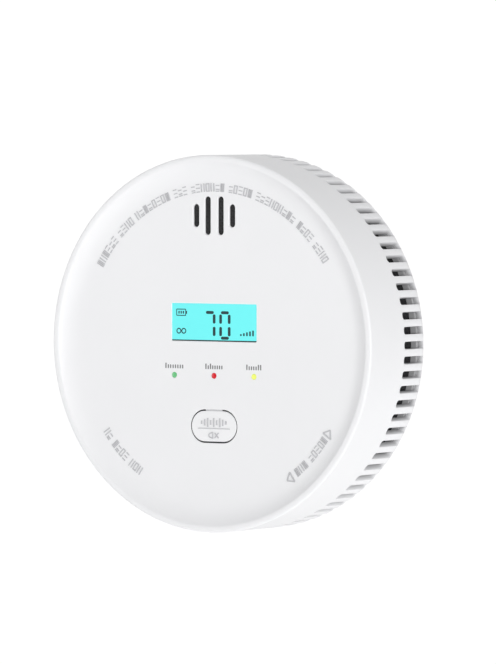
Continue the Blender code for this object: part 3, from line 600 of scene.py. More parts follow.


# %% [markdown]
# ## White plastic with painted shade in its vents
# The walls of the vents are painted a greyer shade than the skin outside, for the shade that falls in
# them. The finish finds them by place: points that lie inside the cover's outer surface, between the
# floor's back and the vents' front.


# %% Painted shade in the vents
SHADE_START, SHADE_LENGTH = 0.2 * MM, 1.6 * MM
SHADE_INSIDE = BODY_RADIUS - 6 * MM
SHADE_BACK = FLOOR_BACK + 0.4 * MM


def painted_vent_shade_mask(finish):
    """Painted shade mask: from 0 at the skin to 1 deep in the vents and on the floor's edge behind them; 0
    elsewhere.
    """
    x, y, z = (finish.node("ShaderNodeSeparateXYZ", {}, {0: finish.place}, axis) for axis in "XYZ")
    depth = 0 - y
    drop = depth.maths("MAXIMUM", ROUNDING_CENTRE[1] - depth, 0.0)
    surface = depth.maths("SQRT", REAR_ROUNDING**2 - drop * drop, 0.0) + ROUNDING_CENTRE[0]
    radius = depth.maths("SQRT", x * x + z * z, 0.0)
    deeper = {0: surface - radius - SHADE_START, 1: 1 / SHADE_LENGTH}
    under = finish.node("ShaderNodeMath", {"operation": "MULTIPLY", "use_clamp": True}, deeper)
    outer = depth.maths("GREATER_THAN", radius, SHADE_INSIDE)
    front = depth.maths("LESS_THAN", depth, VENT_FRONT + SHADE_START)
    rear = depth.maths("GREATER_THAN", depth, SHADE_BACK)
    return under * outer * front * rear


def painted_vent_shade(finish, drift, tone):
    """The tone outside, and a painted grey shade deep in the vents."""
    shade = finish.blend(drift, (0.44, 0.44, 0.45), (0.50, 0.50, 0.51))
    return finish.mix(painted_vent_shade_mask(finish), tone, shade)


# The vent walls and the floor's edge behind them get a painted grey shade.
white_with_painted_shade = moulded("moulding_with_painted_shade", *WHITE, 0.42, shaded=painted_vent_shade, Coat_Weight=0.05)
print("vent walls from", round(SHADE_BACK / MM, 1), "to", round(VENT_FRONT / MM, 1), "mm")


# %% One vent tile
def vent_tile(steps=4):
    """Matching points of the vent and of the tile's boundary.

    A vent point is (corner or side x and depth, direction it grows in); a boundary point is (x, depth).
    """
    half = VENT_WIDTH / 2
    middle = (VENT_REAR + VENT_FRONT) / 2
    reach = (VENT_FRONT - VENT_REAR) / 2
    edge_x, edge_y = PITCH * BODY_RADIUS / 2, reach + VENT_MARGIN
    on_rounding = [ROUNDING_CENTRE[1], ROUNDING_CENTRE[1] - 0.6 * MM]
    hole, boundary = [], []
    for quarter, (side_x, side_y) in enumerate(((1, 1), (-1, 1), (-1, -1), (1, -1))):
        x0, y0 = side_x * (half - VENT_CORNER), side_y * (reach - VENT_CORNER)
        for k in range(steps + 1):
            angle = (quarter + k / steps) * pi / 2
            hole.append(((x0, middle + y0), (cos(angle), sin(angle))))
            along_x, along_y = beyond(abs(cos(angle))), beyond(abs(sin(angle)))
            x = side_x * (edge_x - along_y * (edge_x - abs(x0)))
            y = side_y * (edge_y - along_x * (edge_y - abs(y0)))
            boundary.append((x, middle + y))
        if quarter in (1, 3):
            side = -1 if quarter == 1 else 1
            for depth in on_rounding if quarter == 1 else reversed(on_rounding):
                hole.append(((side * (half - VENT_CORNER), depth), (side, 0)))
                boundary.append((side * edge_x, depth))
    return hole, boundary


def beyond(share):
    """How far past 45 degrees a direction points, from 0 to 1."""
    diagonal = 0.7071
    return min(1.0, max(0.0, (share - diagonal) / (1 - diagonal)))


def tile_points(hole, grow):
    reach = VENT_CORNER + grow
    return [(place[0] + reach * way[0], place[1] + reach * way[1]) for place, way in hole]


hole_corners, tile_boundary = vent_tile()
tile_columns = sorted({round(x, 9) for x, depth in tile_boundary if depth > VENT_FRONT + 0.99 * VENT_MARGIN})
COLUMNS = [PITCH * k + x / BODY_RADIUS for k in range(VENTS) for x in tile_columns[:-1]]
print("tile:", len(tile_boundary), "points;", len(COLUMNS), "columns round the cover")


# %% Build the vents
def vented_band(shape):
    """The slotted part of the side: outside, rounded vent edges, vent walls and inside."""
    soft = 0.14 * MM
    for k in range(VENTS):
        turn = PITCH * k

        def ring(points, radius_of):
            found = []
            for offset, depth in points:
                x, y = polar(radius_of(depth), turn + offset / BODY_RADIUS)
                found.append(shape.bm.verts.new((x, -depth, y)))
            return found

        outside = ring(tile_boundary, side_radius)
        edge = [
            ring(tile_points(hole_corners, inset), lambda depth, drop=drop: side_radius(depth) - drop)
            for inset, drop in rounded_edge(soft, 2)
        ]
        inner_edge = ring(tile_points(hole_corners, 0), lambda depth: INSIDE)
        inside = ring(tile_boundary, lambda depth: INSIDE)
        shape.strips([outside] + edge + [inner_edge, inside])


def cover_ring(shape, radius, depth):
    return shape.loop([polar(radius, angle) for angle in COLUMNS], depth)


def cover_front(shape):
    """Rings from the vents up the side, over the rim and down the dish to the flat face."""
    rim_radius = RIM_INSIDE + 0.45 * (BODY_RADIUS - RIM_INSIDE)
    section = [(BODY_RADIUS, VENT_FRONT + VENT_MARGIN), (BODY_RADIUS, DEPTH - 0.9 * MM)]
    outward, rounding = BODY_RADIUS - rim_radius, 0.75 * MM
    for k in range(7):
        turn = pi / 2 * k / 6
        section.append((rim_radius + outward * cos(turn) ** 0.8, DEPTH - rounding * (1 - sin(turn) ** 0.9)))
    section += [(rim_radius - 0.45 * MM, DEPTH - 0.04 * MM), (RIM_INSIDE + 0.12 * MM, DEPTH - 0.16 * MM)]
    steps = 14
    for k in range(steps + 1):
        radius = RIM_INSIDE - (RIM_INSIDE - FLAT_RADIUS) * k / steps
        section.append((radius, surface_depth(radius)))
    section.append((FLAT_RADIUS - 0.2 * MM, FACE))
    loops = [cover_ring(shape, radius, depth) for radius, depth in section]
    shape.strips(loops)
    return loops[-1]


def cover_rear(shape):
    """The rear rounding, from the vents to the rear edge and in to the wall's inside."""
    first = asin((ROUNDING_CENTRE[1] - VENT_REAR + VENT_MARGIN) / REAR_ROUNDING)
    last = ROUNDING_END
    section = []
    for k in range(9):
        turn = first + (last - first) * k / 8
        across, back = polar(REAR_ROUNDING, turn)
        section.append((ROUNDING_CENTRE[0] + across, ROUNDING_CENTRE[1] - back))
    rear = section[-1][1]
    section += [(INSIDE + 0.1 * MM, rear + 0.02 * MM), (INSIDE, rear + 0.12 * MM)]
    section.append((INSIDE, VENT_REAR - VENT_MARGIN))
    shape.strips([cover_ring(shape, radius, depth) for radius, depth in section])


print(f"rear edge at {(ROUNDING_CENTRE[1] - REAR_ROUNDING * sin(ROUNDING_END)) / MM:.2f} mm from the wall")

# %% [markdown]
# ## Openings in the face
# Four sound slots, the display window, three lamp holes and the outline of the test button are all
# rounded boxes. Each is carried through the face with a soft upper edge. The face itself is then one
# flat area with nine holes in it, which `fill` closes on both sides.

# %% Openings
SOUND_Y = 33.9 * MM
WINDOW_CENTRE = (0, (lens_low.z + lens_high.z) / 2)
LAMP_RADIUS = 0.74 * MM
LAMP_PLACES = {name: centre_of(*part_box(f"light_pipe_{name}")) for name in LAMPS}
BUTTON_CENTRE = (0, (button_low.z + button_high.z) / 2)
BUTTON = (button_high.x - button_low.x, button_high.z - button_low.z)
BUTTON_GAP = 0.4 * MM


def face_openings():
    """Each opening's outline with the radius of its upper edge."""
    found = []
    for x, length in ((2.03 * MM, 10.2 * MM), (5.64 * MM, 6.1 * MM)):
        for side in (-1, 1):
            found.append((rounded_box(1.8 * MM, length, 0.9 * MM, (side * x, SOUND_Y)), 0.25 * MM))
    found.append((rounded_box(*WINDOW, 0.25 * MM, WINDOW_CENTRE), 0.15 * MM))
    for place in LAMP_PLACES.values():
        found.append((disc(LAMP_RADIUS + 0.05 * MM, place, 8), 0.06 * MM))
    opening = (BUTTON[0] + 2 * BUTTON_GAP, BUTTON[1] + 2 * BUTTON_GAP)
    found.append((rounded_box(*opening, opening[1] / 2, BUTTON_CENTRE, 14), 0.1 * MM))
    return found


def front_cover():
    shape = Shape()
    vented_band(shape)
    cover_rear(shape)
    face_edge = cover_front(shape)
    under = [
        cover_ring(shape, radius, depth)
        for radius, depth in (
            (INSIDE, VENT_FRONT + VENT_MARGIN),
            (INSIDE, FACE - WALL + 0.3 * MM),
            (INSIDE - 1.2 * MM, FACE - WALL + 1.0 * MM),
            (FLAT_RADIUS, FACE - WALL),
        )
    ]
    shape.strips(under)
    tops, bottoms = [], []
    for outline, edge in face_openings():
        loops = [shape.loop(outline(edge + 0.08 * MM), FACE)]
        loops += [shape.loop(outline(inset), FACE - drop) for inset, drop in rounded_edge(edge)]
        loops.append(shape.loop(outline(0), FACE - WALL))
        shape.strips(loops)
        tops.append(loops[0])
        bottoms.append(loops[-1])
    shape.fill(face_edge, *tops)
    shape.fill(under[-1], *bottoms)
    return shape.piece("cover_shell", "alarm", "white_abs", white_with_painted_shade, nodes=["front_cover"])


cover = front_cover()
print("cover:", len(cover.data.polygons), "faces")

# %% [markdown]
# ## Raised marks on the dish
# The real cover has rows of tiny raised characters round its dish. Wording has no place on a shared
# part, so each character becomes one of a few plain ribs and frames of the same size and spacing. They
# are laid along an arc, and each rib follows the dish, so its top stays a constant height above the
# surface.

# %% Mark helpers
RELIEF = 0.16 * MM
ROOT = 0.1 * MM
MARK_BAR = 0.26 * MM
GROUP_GAP = 1.1 * MM


def frame_bars(width, height, bar):
    """A small rectangular frame as four bars: (x, y, width, height)."""
    return [
        (0, (height - bar) / 2, width, bar),
        (0, -(height - bar) / 2, width, bar),
        ((width - bar) / 2, 0, bar, height - 2 * bar),
        (-(width - bar) / 2, 0, bar, height - 2 * bar),
    ]


def mark_patterns(width, height, bar):
    """Five plain arrangements of ribs and frames, as lists of bars."""
    side = (width - bar) / 2
    up = (height - bar) / 2
    return [
        frame_bars(width, height, bar),
        [(-side, 0, bar, height), (0, 0, bar, height), (side, 0, bar, height)],
        [(0, up, width, bar), (0, 0, width, bar), (0, -up, width, bar)],
        [(-side, 0, bar, height), (side, 0, bar, height)],
        [(0, up / 2, width, bar), (0, -up / 2, width, bar), (0, -up, width, bar)],
    ]


def raised_bar(shape, corners, base, relief):
    """A block that stands on a surface, given as a depth at a radius, and is rooted a little in it."""
    shape.block(corners, lambda radius: base(radius) - ROOT, lambda radius: base(radius) + relief)


def arc_marks(name, radius, start, groups, size=(1.12 * MM, 2.25 * MM), gap=0.42 * MM, upright=True):
    """Groups of marks along an arc from an angle; clockwise when they stand upright, else the other way."""
    shape = Shape()
    patterns = mark_patterns(*size, MARK_BAR)
    turn = -1 if upright else 1
    travelled, chosen = 0.0, 0
    for group in groups:
        for mark in range(group):
            middle = start + turn * (travelled + size[0] / 2) / radius
            chosen += 1 + (mark + group) % 3
            for x, y, width, height in patterns[chosen % len(patterns)]:
                corners = []
                for side_x, side_y in ((-1, -1), (1, -1), (1, 1), (-1, 1)):
                    across = x + side_x * width / 2
                    up = (y + side_y * height / 2) * (1 if upright else -1)
                    corners.append(polar(radius + up, middle + turn * across / radius))
                raised_bar(shape, corners, surface_depth, RELIEF)
            travelled += size[0] + gap
        travelled += GROUP_GAP
    print(f"{name}: {sum(groups)} marks over {degrees(travelled / radius):.0f} degrees")
    # The marks' grey is painted shade round their raised edges.
    return shape.piece(name, "alarm", "white_abs", white_raised_painted_shade)


# %% Place the rows
arc_marks("dish_marks_upper", 41.4 * MM, radians(150.6), (6, 4, 8, 3, 7, 5, 9, 4, 4))
arc_marks("dish_marks_left", 41.5 * MM, radians(-145.2), (2, 4, 3), upright=False)
arc_marks("dish_marks_right", 42.3 * MM, radians(-52.6), (3, 5), upright=False)

# %% [markdown]
# ## Turn arrows
# At both ends of the lower right row a small outlined arrow head shows which way the alarm turns on its
# bracket. An outlined triangle is three bars; they are drawn straight on the dish.


# %% Arrows
def bar_between(shape, first, second, width, base, relief):
    """A raised bar from one point to another."""
    along = Vector(second) - Vector(first)
    side = Vector((-along.y, along.x)).normalized() * width / 2
    corners = [Vector(first) - side, Vector(second) - side, Vector(second) + side, Vector(first) + side]
    raised_bar(shape, [tuple(corner) for corner in corners], base, relief)


def arrow_head(shape, radius, angle, turn):
    tip = polar(radius, angle + turn * 1.9 * MM / radius)
    heel_in, heel_out = polar(radius - 1.5 * MM, angle), polar(radius + 1.5 * MM, angle)
    for first, second in ((tip, heel_in), (tip, heel_out), (heel_in, heel_out)):
        bar_between(shape, first, second, 0.35 * MM, surface_depth, RELIEF)


arrows = Shape()
arrow_head(arrows, 42.4 * MM, radians(-33.8), 1)
arrow_head(arrows, 42.4 * MM, radians(-54.6), -1)
arrows.piece("dish_arrows", "alarm", "white_abs", white_raised_painted_shade)
print("two arrow heads")

# %% [markdown]
# ## Captions over the lamps
# The real alarm has a printed word over each lamp. Here a row of short upright strokes of the same
# length and height stands in its place, some taller than the rest, so the face keeps its balance
# without any word. Ink has almost no thickness, but a patch that lies a hundredth of a millimetre proud
# never flickers.


# %% Printed strokes
STROKE = 0.36 * MM
CAPTION_RISE = 1.75 * MM


def printed(shape, outline, surface, root, lift):
    """A thin printed patch, rooted in a flat surface and lifted a little off it."""
    shape.block(outline(), level(surface - root), level(surface + lift))


def caption(name, width, stems):
    """A row of thin upright strokes over the lamp of that name."""
    x0, y0 = LAMP_PLACES[name]
    foot = y0 + CAPTION_RISE
    shape = Shape()
    pitch = width / (len(stems) - 1)
    for k, height in enumerate(stems):
        centre = (x0 - width / 2 + k * pitch, foot + height / 2)
        printed(shape, rounded_box(STROKE, height, 0.12 * MM, centre, 2), FACE, 0.01 * MM, 0.015 * MM)
    return shape.piece(f"caption_{name}", "alarm", "black_plastic", grey_ink)


tall, low = 1.45 * MM, 1.0 * MM
caption("power", 5.3 * MM, (tall, low, low, low, low, low, low, low))
caption("alarm", 5.0 * MM, (tall, low, tall, low, low, low, low, low))
caption("fault", 4.3 * MM, (tall, low, low, low, low, tall, tall))
print("captions over", ", ".join(LAMP_PLACES))

# %% [markdown]
# ## The test button
# The button is an oval flap with a softly rounded edge and a barely crowned top. On it stand a sign for
# a test tone, a dividing line and a sign for silence. The narrow film along its top edge, on which the
# real flap bends, stays with the cover.


# %% Button
def button_outline():
    """The cap is a little wider than its flap, so the gap is narrow at its ends."""
    return rounded_box(BUTTON[0] + 0.24 * MM, BUTTON[1], BUTTON[1] / 2, BUTTON_CENTRE, 14)


def test_button():
    shape = Shape()
    outline = button_outline()
    loops = [shape.loop(outline(-inset), FACE - drop) for inset, drop in rounded_edge(0.14 * MM, 4)]
    loops.append(shape.loop(outline(0), FACE - 1.6 * MM))
    shape.solid(loops)
    return shape.piece("button_cap", "test_flap", "white_abs", white_smooth, nodes=["test_button"])


def button_signs():
    """A row of tone bars, a line, and a small loudspeaker with a cross."""
    shape = Shape()
    x0, y0 = BUTTON_CENTRE
    tone_y, line_y, mute_y = y0 + 1.0 * MM, y0 - 0.6 * MM, y0 - 2.4 * MM
    heights = (0.9, 1.7, 2.4, 1.3, 2.4, 1.3, 2.4, 1.7, 0.9)
    pitch = 0.95 * MM
    for k, height in enumerate(heights):
        x = x0 + (k - (len(heights) - 1) / 2) * pitch
        foot, head = (x, tone_y - height * MM / 2), (x, tone_y + height * MM / 2)
        bar_between(shape, foot, head, 0.36 * MM, level(FACE), RELIEF)
    bar_between(shape, (x0 - 4.95 * MM, line_y), (x0 + 4.95 * MM, line_y), 0.22 * MM, level(FACE), RELIEF)

    left = x0 - 1.5 * MM
    horn = [
        ((left, mute_y - 0.35 * MM), (left, mute_y + 0.35 * MM)),
        ((left, mute_y + 0.35 * MM), (left + 1.2 * MM, mute_y + 0.85 * MM)),
        ((left + 1.2 * MM, mute_y + 0.85 * MM), (left + 1.2 * MM, mute_y - 0.85 * MM)),
        ((left + 1.2 * MM, mute_y - 0.85 * MM), (left, mute_y - 0.35 * MM)),
    ]
    cross = [
        ((x0 + 0.3 * MM, mute_y - 0.7 * MM), (x0 + 1.5 * MM, mute_y + 0.7 * MM)),
        ((x0 + 0.3 * MM, mute_y + 0.7 * MM), (x0 + 1.5 * MM, mute_y - 0.7 * MM)),
    ]
    for k, (first, second) in enumerate(horn + cross):
        bar_between(shape, first, second, 0.26 * MM, level(FACE), RELIEF + 0.006 * MM * k)
    return shape.piece("button_signs", "test_flap", "white_abs", white_raised_painted_shade)


def button_gap_shade():
    """A black ring that nearly fills the gap round the button, fixed to the cover: a painted shadow for the
    shade deep in the gap.
    """
    shape = Shape()
    opening, cap = rounded_box(*BUTTON, BUTTON[1] / 2, BUTTON_CENTRE, 14), button_outline()
    outer, inner = opening(BUTTON_GAP - 0.01 * MM), cap(0.08 * MM)
    top, foot = FACE - 0.16 * MM, FACE - WALL + 0.1 * MM
    section = ((outer, foot), (outer, top), (inner, top), (inner, foot))
    shape.tube([shape.loop(points, depth) for points, depth in section])
    return shape.piece("button_gap_shade", "alarm", "black_plastic", black)


def button_film():
    """The thin bridge over the gap at the button's upper edge, in the marks' grey of painted shade."""
    shape = Shape()
    y = BUTTON_CENTRE[1] + BUTTON[1] / 2 + BUTTON_GAP / 2
    outline = rounded_box(5.2 * MM, BUTTON_GAP + 0.04 * MM, 0.02 * MM, (0, y), 2)
    plate(shape, outline, [], FACE - 0.65 * MM, FACE - 0.08 * MM, 0.01 * MM)
    return shape.piece("button_film", "alarm", "white_abs", white_raised_painted_shade)


test_button()
button_signs()
button_gap_shade()
button_film()
print(f"button {BUTTON[0] / MM:.1f} x {BUTTON[1] / MM:.1f} mm")

# %% [markdown]
# ## The display
# A flat window in the face lets a lit liquid crystal show. Its segments are dark shapes on cyan light.
# The number is two seven-segment digits. Plain signs stand for a battery, a gas and a level.

# %% Window
LENS_FRONT = -lens_low.y
WINDOW_DEPTH = 2.2 * MM
# Height of the black strip under the window, a painted shadow line; the window is that much shorter.
SHADOW_STRIP = 0.36 * MM
SEGMENT_LIFT = 0.02 * MM


def display_window():
    shape = Shape()
    size = (WINDOW[0] - 0.1 * MM, WINDOW[1] - SHADOW_STRIP)
    centre = (WINDOW_CENTRE[0], WINDOW_CENTRE[1] + SHADOW_STRIP / 2 - 0.03 * MM)
    plate(shape, rounded_box(*size, 0.15 * MM, centre), [], LENS_FRONT - WINDOW_DEPTH, LENS_FRONT, 0.04 * MM)
    return shape.piece("display_window", "alarm", "lit_glass", cyan, nodes=["display_lens"])


def display_shadow_strip():
    """A black strip along the window's lower edge: a painted shadow line under the lens."""
    shape = Shape()
    centre = (WINDOW_CENTRE[0], WINDOW_CENTRE[1] - WINDOW[1] / 2 + SHADOW_STRIP / 2)
    outline = rounded_box(WINDOW[0] - 0.04 * MM, SHADOW_STRIP - 0.04 * MM, 0.05 * MM, centre, 2)
    plate(shape, outline, [], LENS_FRONT - WINDOW_DEPTH, LENS_FRONT - 0.05 * MM, 0.02 * MM)
    return shape.piece("display_shadow_strip", "alarm", "black_plastic", black)


class Display:
    """Draws on the window, in metres from its left and lower edges."""

    def __init__(self):
        self.shape = Shape()
        self.left = WINDOW_CENTRE[0] - WINDOW[0] / 2
        self.low = WINDOW_CENTRE[1] - WINDOW[1] / 2

    def bar(self, x, y, width, height, corner=0.3 * MM):
        centre = (self.left + x, self.low + y)
        outline = rounded_box(width, height, min(corner, width / 2, height / 2), centre, 3)
        printed(self.shape, outline, LENS_FRONT, SEGMENT_LIFT, SEGMENT_LIFT)

    def digit(self, x, lit_segments):
        """A seven-segment digit whose middle is at x; segments a to g."""
        across, upright = (2.46 * MM, 0.80 * MM), (0.84 * MM, 2.46 * MM)
        out, top, high, low, foot = 1.345 * MM, 7.66 * MM, 5.95 * MM, 2.67 * MM, 0.93 * MM
        places = {
            "a": (0, top, across),
            "b": (out, high, upright),
            "c": (out, low, upright),
            "d": (0, foot, across),
            "e": (-out, low, upright),
            "f": (-out, high, upright),
            "g": (0, (high + low) / 2, across),
        }
        for segment in lit_segments:
            aside, up, size = places[segment]
            self.bar(x + aside, up, *size, corner=0.38 * MM)

    def ring(self, x, y, radius, width, steps=20):
        """A circle drawn as a thin ring."""
        centre, inside = (self.left + x, self.low + y), radius - width
        back, front = LENS_FRONT - SEGMENT_LIFT, LENS_FRONT + SEGMENT_LIFT
        section = [(radius, back), (radius, front), (inside, front), (inside, back)]
        loops = [self.shape.loop(disc(reach, centre, steps // 4)(), depth) for reach, depth in section]
        self.shape.tube(loops)


def display_segments():
    shown = Display()
    shown.digit(11.98 * MM, "abc")
    shown.digit(16.7 * MM, "abcdef")

    thin, left, right, foot, head = 0.24 * MM, 1.5 * MM, 4.35 * MM, 6.75 * MM, 8.4 * MM
    for y in (foot, head):
        shown.bar((left + right) / 2, y, right - left, thin, 0.05 * MM)
    for x in (left, right):
        shown.bar(x, (foot + head) / 2, thin, head - foot, 0.05 * MM)
    shown.bar(right + 0.27 * MM, (foot + head) / 2, 0.3 * MM, 0.8 * MM, 0.05 * MM)
    for k in range(3):
        shown.bar(left + (0.75 + 0.68 * k) * MM, (foot + head) / 2, 0.4 * MM, 0.75 * MM, 0.08 * MM)

    shown.ring(2.2 * MM, 2.65 * MM, 0.78 * MM, 0.3 * MM)
    shown.ring(3.75 * MM, 2.65 * MM, 0.78 * MM, 0.3 * MM)

    for k, height in enumerate((0.5, 0.75, 1.0, 1.25, 1.5)):
        shown.bar((21.7 + 0.95 * k) * MM, (1.6 + height / 2) * MM, 0.5 * MM, height * MM, 0.06 * MM)
    return shown.shape.piece("display_segments", "alarm", "black_plastic", segment_ink)


display_shadow_strip()
display_window()
display_segments()
print(f"window {WINDOW[0] / MM:.1f} x {WINDOW[1] / MM:.1f} mm at depth {LENS_FRONT / MM:.2f} mm")

# %% [markdown]
# ## Sound slots
# A black dust screen lies behind the four sound slots, and its pads fill them almost to the surface.


# %% Dust screen
def dust_screen():
    shape = Shape()
    low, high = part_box("sounder_screen")
    base = -high.y
    sheet = [(0, base), (10.7 * MM, base), (10.7 * MM, base + 0.4 * MM), (0, base + 0.4 * MM)]
    turned(shape, sheet, 64, centre_of(low, high))
    for outline, _ in face_openings()[:4]:
        section = [(-0.05 * MM, base + 0.3 * MM), (-0.05 * MM, FACE - 0.55 * MM)]
        section.append((-0.25 * MM, FACE - 0.42 * MM))
        shape.solid([shape.loop(outline(grow), depth) for grow, depth in section])
    return shape.piece("dust_screen", "alarm", "black_mesh", mesh_black, nodes=["sounder_screen"])


dust_screen()
print("dust screen with four pads")

# %% [markdown]
# ## Light pipes
# Each lamp reaches the face through a short tinted pipe with a flat, faintly domed end.


# %% Pipes
def light_pipe(name):
    shape = Shape()
    radius, dome = LAMP_RADIUS, 0.1 * MM
    profile = [(0, FACE + dome), (0.4 * radius, FACE + 0.95 * dome), (0.75 * radius, FACE + 0.7 * dome)]
    profile += [(0.95 * radius, FACE + 0.3 * dome), (radius, FACE - 0.05 * MM), (radius, FACE - WALL)]
    end = FACE - WALL - 0.7 * MM
    profile += [(1.6 * MM, FACE - WALL - 0.3 * MM), (1.6 * MM, end), (0, end)]
    turned(shape, profile, 32, LAMP_PLACES[name])
    slots = {"power": "green_light", "alarm": "red_light", "fault": "yellow_light"}
    return shape.piece(f"pipe_{name}", "alarm", slots[name], LAMPS[name], nodes=[f"light_pipe_{name}"])


for lamp in LAMPS:
    light_pipe(lamp)
print("pipes at", [(round(x / MM, 1), round(y / MM, 1)) for x, y in LAMP_PLACES.values()])

# %% [markdown]
# ## The wall bracket
# The bracket is the ring that stays on the wall. A moulded ring this thin is cored out at the back: two
# rims, a thin web between them, ribs across it, and a boss round each curved screw slot. Four L-shaped
# hooks stand on its front, each with a window under it that the mould needs. Overlapping closed solids
# in one mesh are enough here, because plastic ribs really do run into each other, and each keeps its
# own rounded edges.

# %% Ring sections
HOOK_RADIUS = BODY_RADIUS - 10.0 * MM
HOOK_STARTS = [radians(45 + 90 * k) for k in range(4)]
HOOK_CLEARANCE = 0.4 * MM
BRACKET = (BODY_RADIUS - 15 * MM, BODY_RADIUS - 4 * MM, 1.8 * MM)


def arc_band(radius, half_width, start, end, steps=12):
    """A piece of a ring with square ends."""

    def points(grow=0.0):
        more = grow / radius
        along = [start - more + (end - start + 2 * more) * k / steps for k in range(steps + 1)]
        outside = [polar(radius + half_width + grow, angle) for angle in along]
        return outside + [polar(radius - half_width - grow, angle) for angle in reversed(along)]

    return points


def turned_band(shape, inside, outside, back, front, edge=0.3 * MM, steps=96):
    """A ring of rectangular section with rounded edges."""
    rounding = rounded_edge(edge)
    profile = [(outside - inset, front - drop) for inset, drop in rounding]
    profile += [(outside - inset, back + drop) for inset, drop in reversed(rounding)]
    profile += [(inside + inset, back + drop) for inset, drop in rounding]
    profile += [(inside + inset, front - drop) for inset, drop in reversed(rounding)]
    shape.tube(rings(shape, profile, steps))


print("hooks at", [round(degrees(start)) for start in HOOK_STARTS], "degrees")


# %% Bracket
HOOK_STEM, HOOK_HEAD, SMALL_TURN = radians(5), radians(16), radians(0.1)
WINDOW_SHIFT, SLOT_HALF = radians(0.6), radians(13)
RIB_TURNS, RIB_HALF = (22, 28, 34, 40, 67), radians(0.7)


def bracket_hooks(shape):
    """Four stems with their heads, which hold the housing's floor."""
    back = FLOOR_FRONT + HOOK_CLEARANCE
    for start in HOOK_STARTS:
        stem = arc_band(HOOK_RADIUS, 1.75 * MM, start + SMALL_TURN, start + HOOK_STEM - SMALL_TURN, 3)
        plate(shape, stem, [], BRACKET[2] - 0.5 * MM, back + 0.9 * MM, 0.15 * MM)
        head = arc_band(HOOK_RADIUS, 1.8 * MM, start, start + HOOK_HEAD, 8)
        plate(shape, head, [], back, back + 1.8 * MM, 0.35 * MM)


def wall_bracket():
    shape = Shape()
    inside, outside, thickness = BRACKET
    slots = [(angle - SLOT_HALF, angle + SLOT_HALF) for angle in (0, pi / 2, pi, 3 * pi / 2)]
    holes = [arc_slot(HOOK_RADIUS, 1.9 * MM, *slot) for slot in slots]
    for start in HOOK_STARTS:
        window = (start + HOOK_STEM + WINDOW_SHIFT, start + HOOK_HEAD + WINDOW_SHIFT)
        holes.append(arc_band(HOOK_RADIUS, 2.2 * MM, *window, 6))
    holes.append(disc(inside + 0.5 * MM, steps=36))
    plate(shape, disc(outside - 0.5 * MM, steps=36), holes, 0.7 * MM, thickness - 0.04 * MM)
    turned_band(shape, outside - 1.1 * MM, outside, 0, thickness)
    turned_band(shape, inside, inside + 1.1 * MM, 0, thickness)
    for slot in slots:
        boss, hole = arc_slot(HOOK_RADIUS, 3.1 * MM, *slot), arc_slot(HOOK_RADIUS, 1.95 * MM, *slot)
        plate(shape, boss, [hole], 0, thickness - 0.3 * MM, 0.2 * MM)
    for quarter in range(4):
        for turn in RIB_TURNS:
            middle = radians(90 * quarter + turn)
            rib = arc_band(HOOK_RADIUS, 4.9 * MM, middle - RIB_HALF, middle + RIB_HALF, 1)
            plate(shape, rib, [], 0.15 * MM, 1.2 * MM, 0.15 * MM)
    bracket_hooks(shape)
    return shape.piece("wall_bracket", "bracket", "white_abs", white, nodes=["mounting_bracket"])


bracket = wall_bracket()
print("bracket:", len(bracket.data.polygons), "faces")

# %% [markdown]
# ## The rear housing
# The rear housing is a floor with the battery bay standing on it. The four hook slots, the recesses for
# the three long screws and the bay's opening are holes in that floor. On its back are a blank label and
# a raised arrow that shows the way the alarm turns off its bracket.

# %% Sizes of the bay and the floor
door_low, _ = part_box("battery_cover")
cell_low, cell_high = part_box("battery_upper")
FLOOR_RADIUS = BODY_RADIUS - 2.4 * MM
BAY = (57.0 * MM, 31.1 * MM)
BAY_WALL, BAY_ROOF = 1.5 * MM, 0.8 * MM
BAY_FRONT = -floor_low.y
CASE_SCREWS = [centre_of(*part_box(f"case_screw_{k}")) for k in (1, 2, 3)]
HEAD_ROOM = 3.05 * MM
HEAD_SEAT = FLOOR_BACK + 2.4 * MM
BOSS_TOP = FLOOR_FRONT + 2.5 * MM
LABEL = (30 * MM, 9.5 * MM)
LABEL_CENTRE = (0, 25.2 * MM)
print(f"bay {BAY[0] / MM:.1f} x {BAY[1] / MM:.1f} mm, its roof at {BAY_FRONT / MM:.1f} mm")


# %% Rear shell
def hook_slots():
    """Where the heads pass through the floor, and where their stems stand when it hangs."""
    before, after = radians(13), radians(6)
    return [arc_band(HOOK_RADIUS, 2.2 * MM, start - before, start + after) for start in HOOK_STARTS]


def swept_across(shape, section, left, right):
    """A solid along x with that section of (y, depth) points."""
    ends = [[shape.bm.verts.new((x, -depth, y)) for y, depth in section] for x in (left, right)]
    shape.strip(*ends)
    for end in ends:
        shape.bm.faces.new(end)


def battery_bay(shape):
    """Four walls and a roof, with a ridge between the two cells."""
    inside = rounded_box(BAY[0] - 0.06 * MM, BAY[1] - 0.06 * MM, 0.6 * MM, steps=3)
    outside = rounded_box(BAY[0] + 2 * BAY_WALL, BAY[1] + 2 * BAY_WALL, 1.6 * MM, steps=3)
    roof = BAY_FRONT - BAY_ROOF
    section = [(inside(), roof), (inside(), FLOOR_BACK + 0.4 * MM), (outside(), FLOOR_FRONT - 0.3 * MM)]
    for inset, drop in reversed(rounded_edge(0.5 * MM)):
        section.append((outside(-inset), BAY_FRONT - drop))
    shape.solid([shape.loop(points, depth) for points, depth in section])
    ridge = [(-3.0, 0.1), (-1.9, -1.2), (-0.7, -2.3), (0.7, -2.3), (1.9, -1.2), (3.0, 0.1)]
    ridge = [(y * MM, roof + depth * MM) for y, depth in ridge]
    swept_across(shape, ridge, -BAY[0] / 2 + 3 * MM, BAY[0] / 2 - 5 * MM)


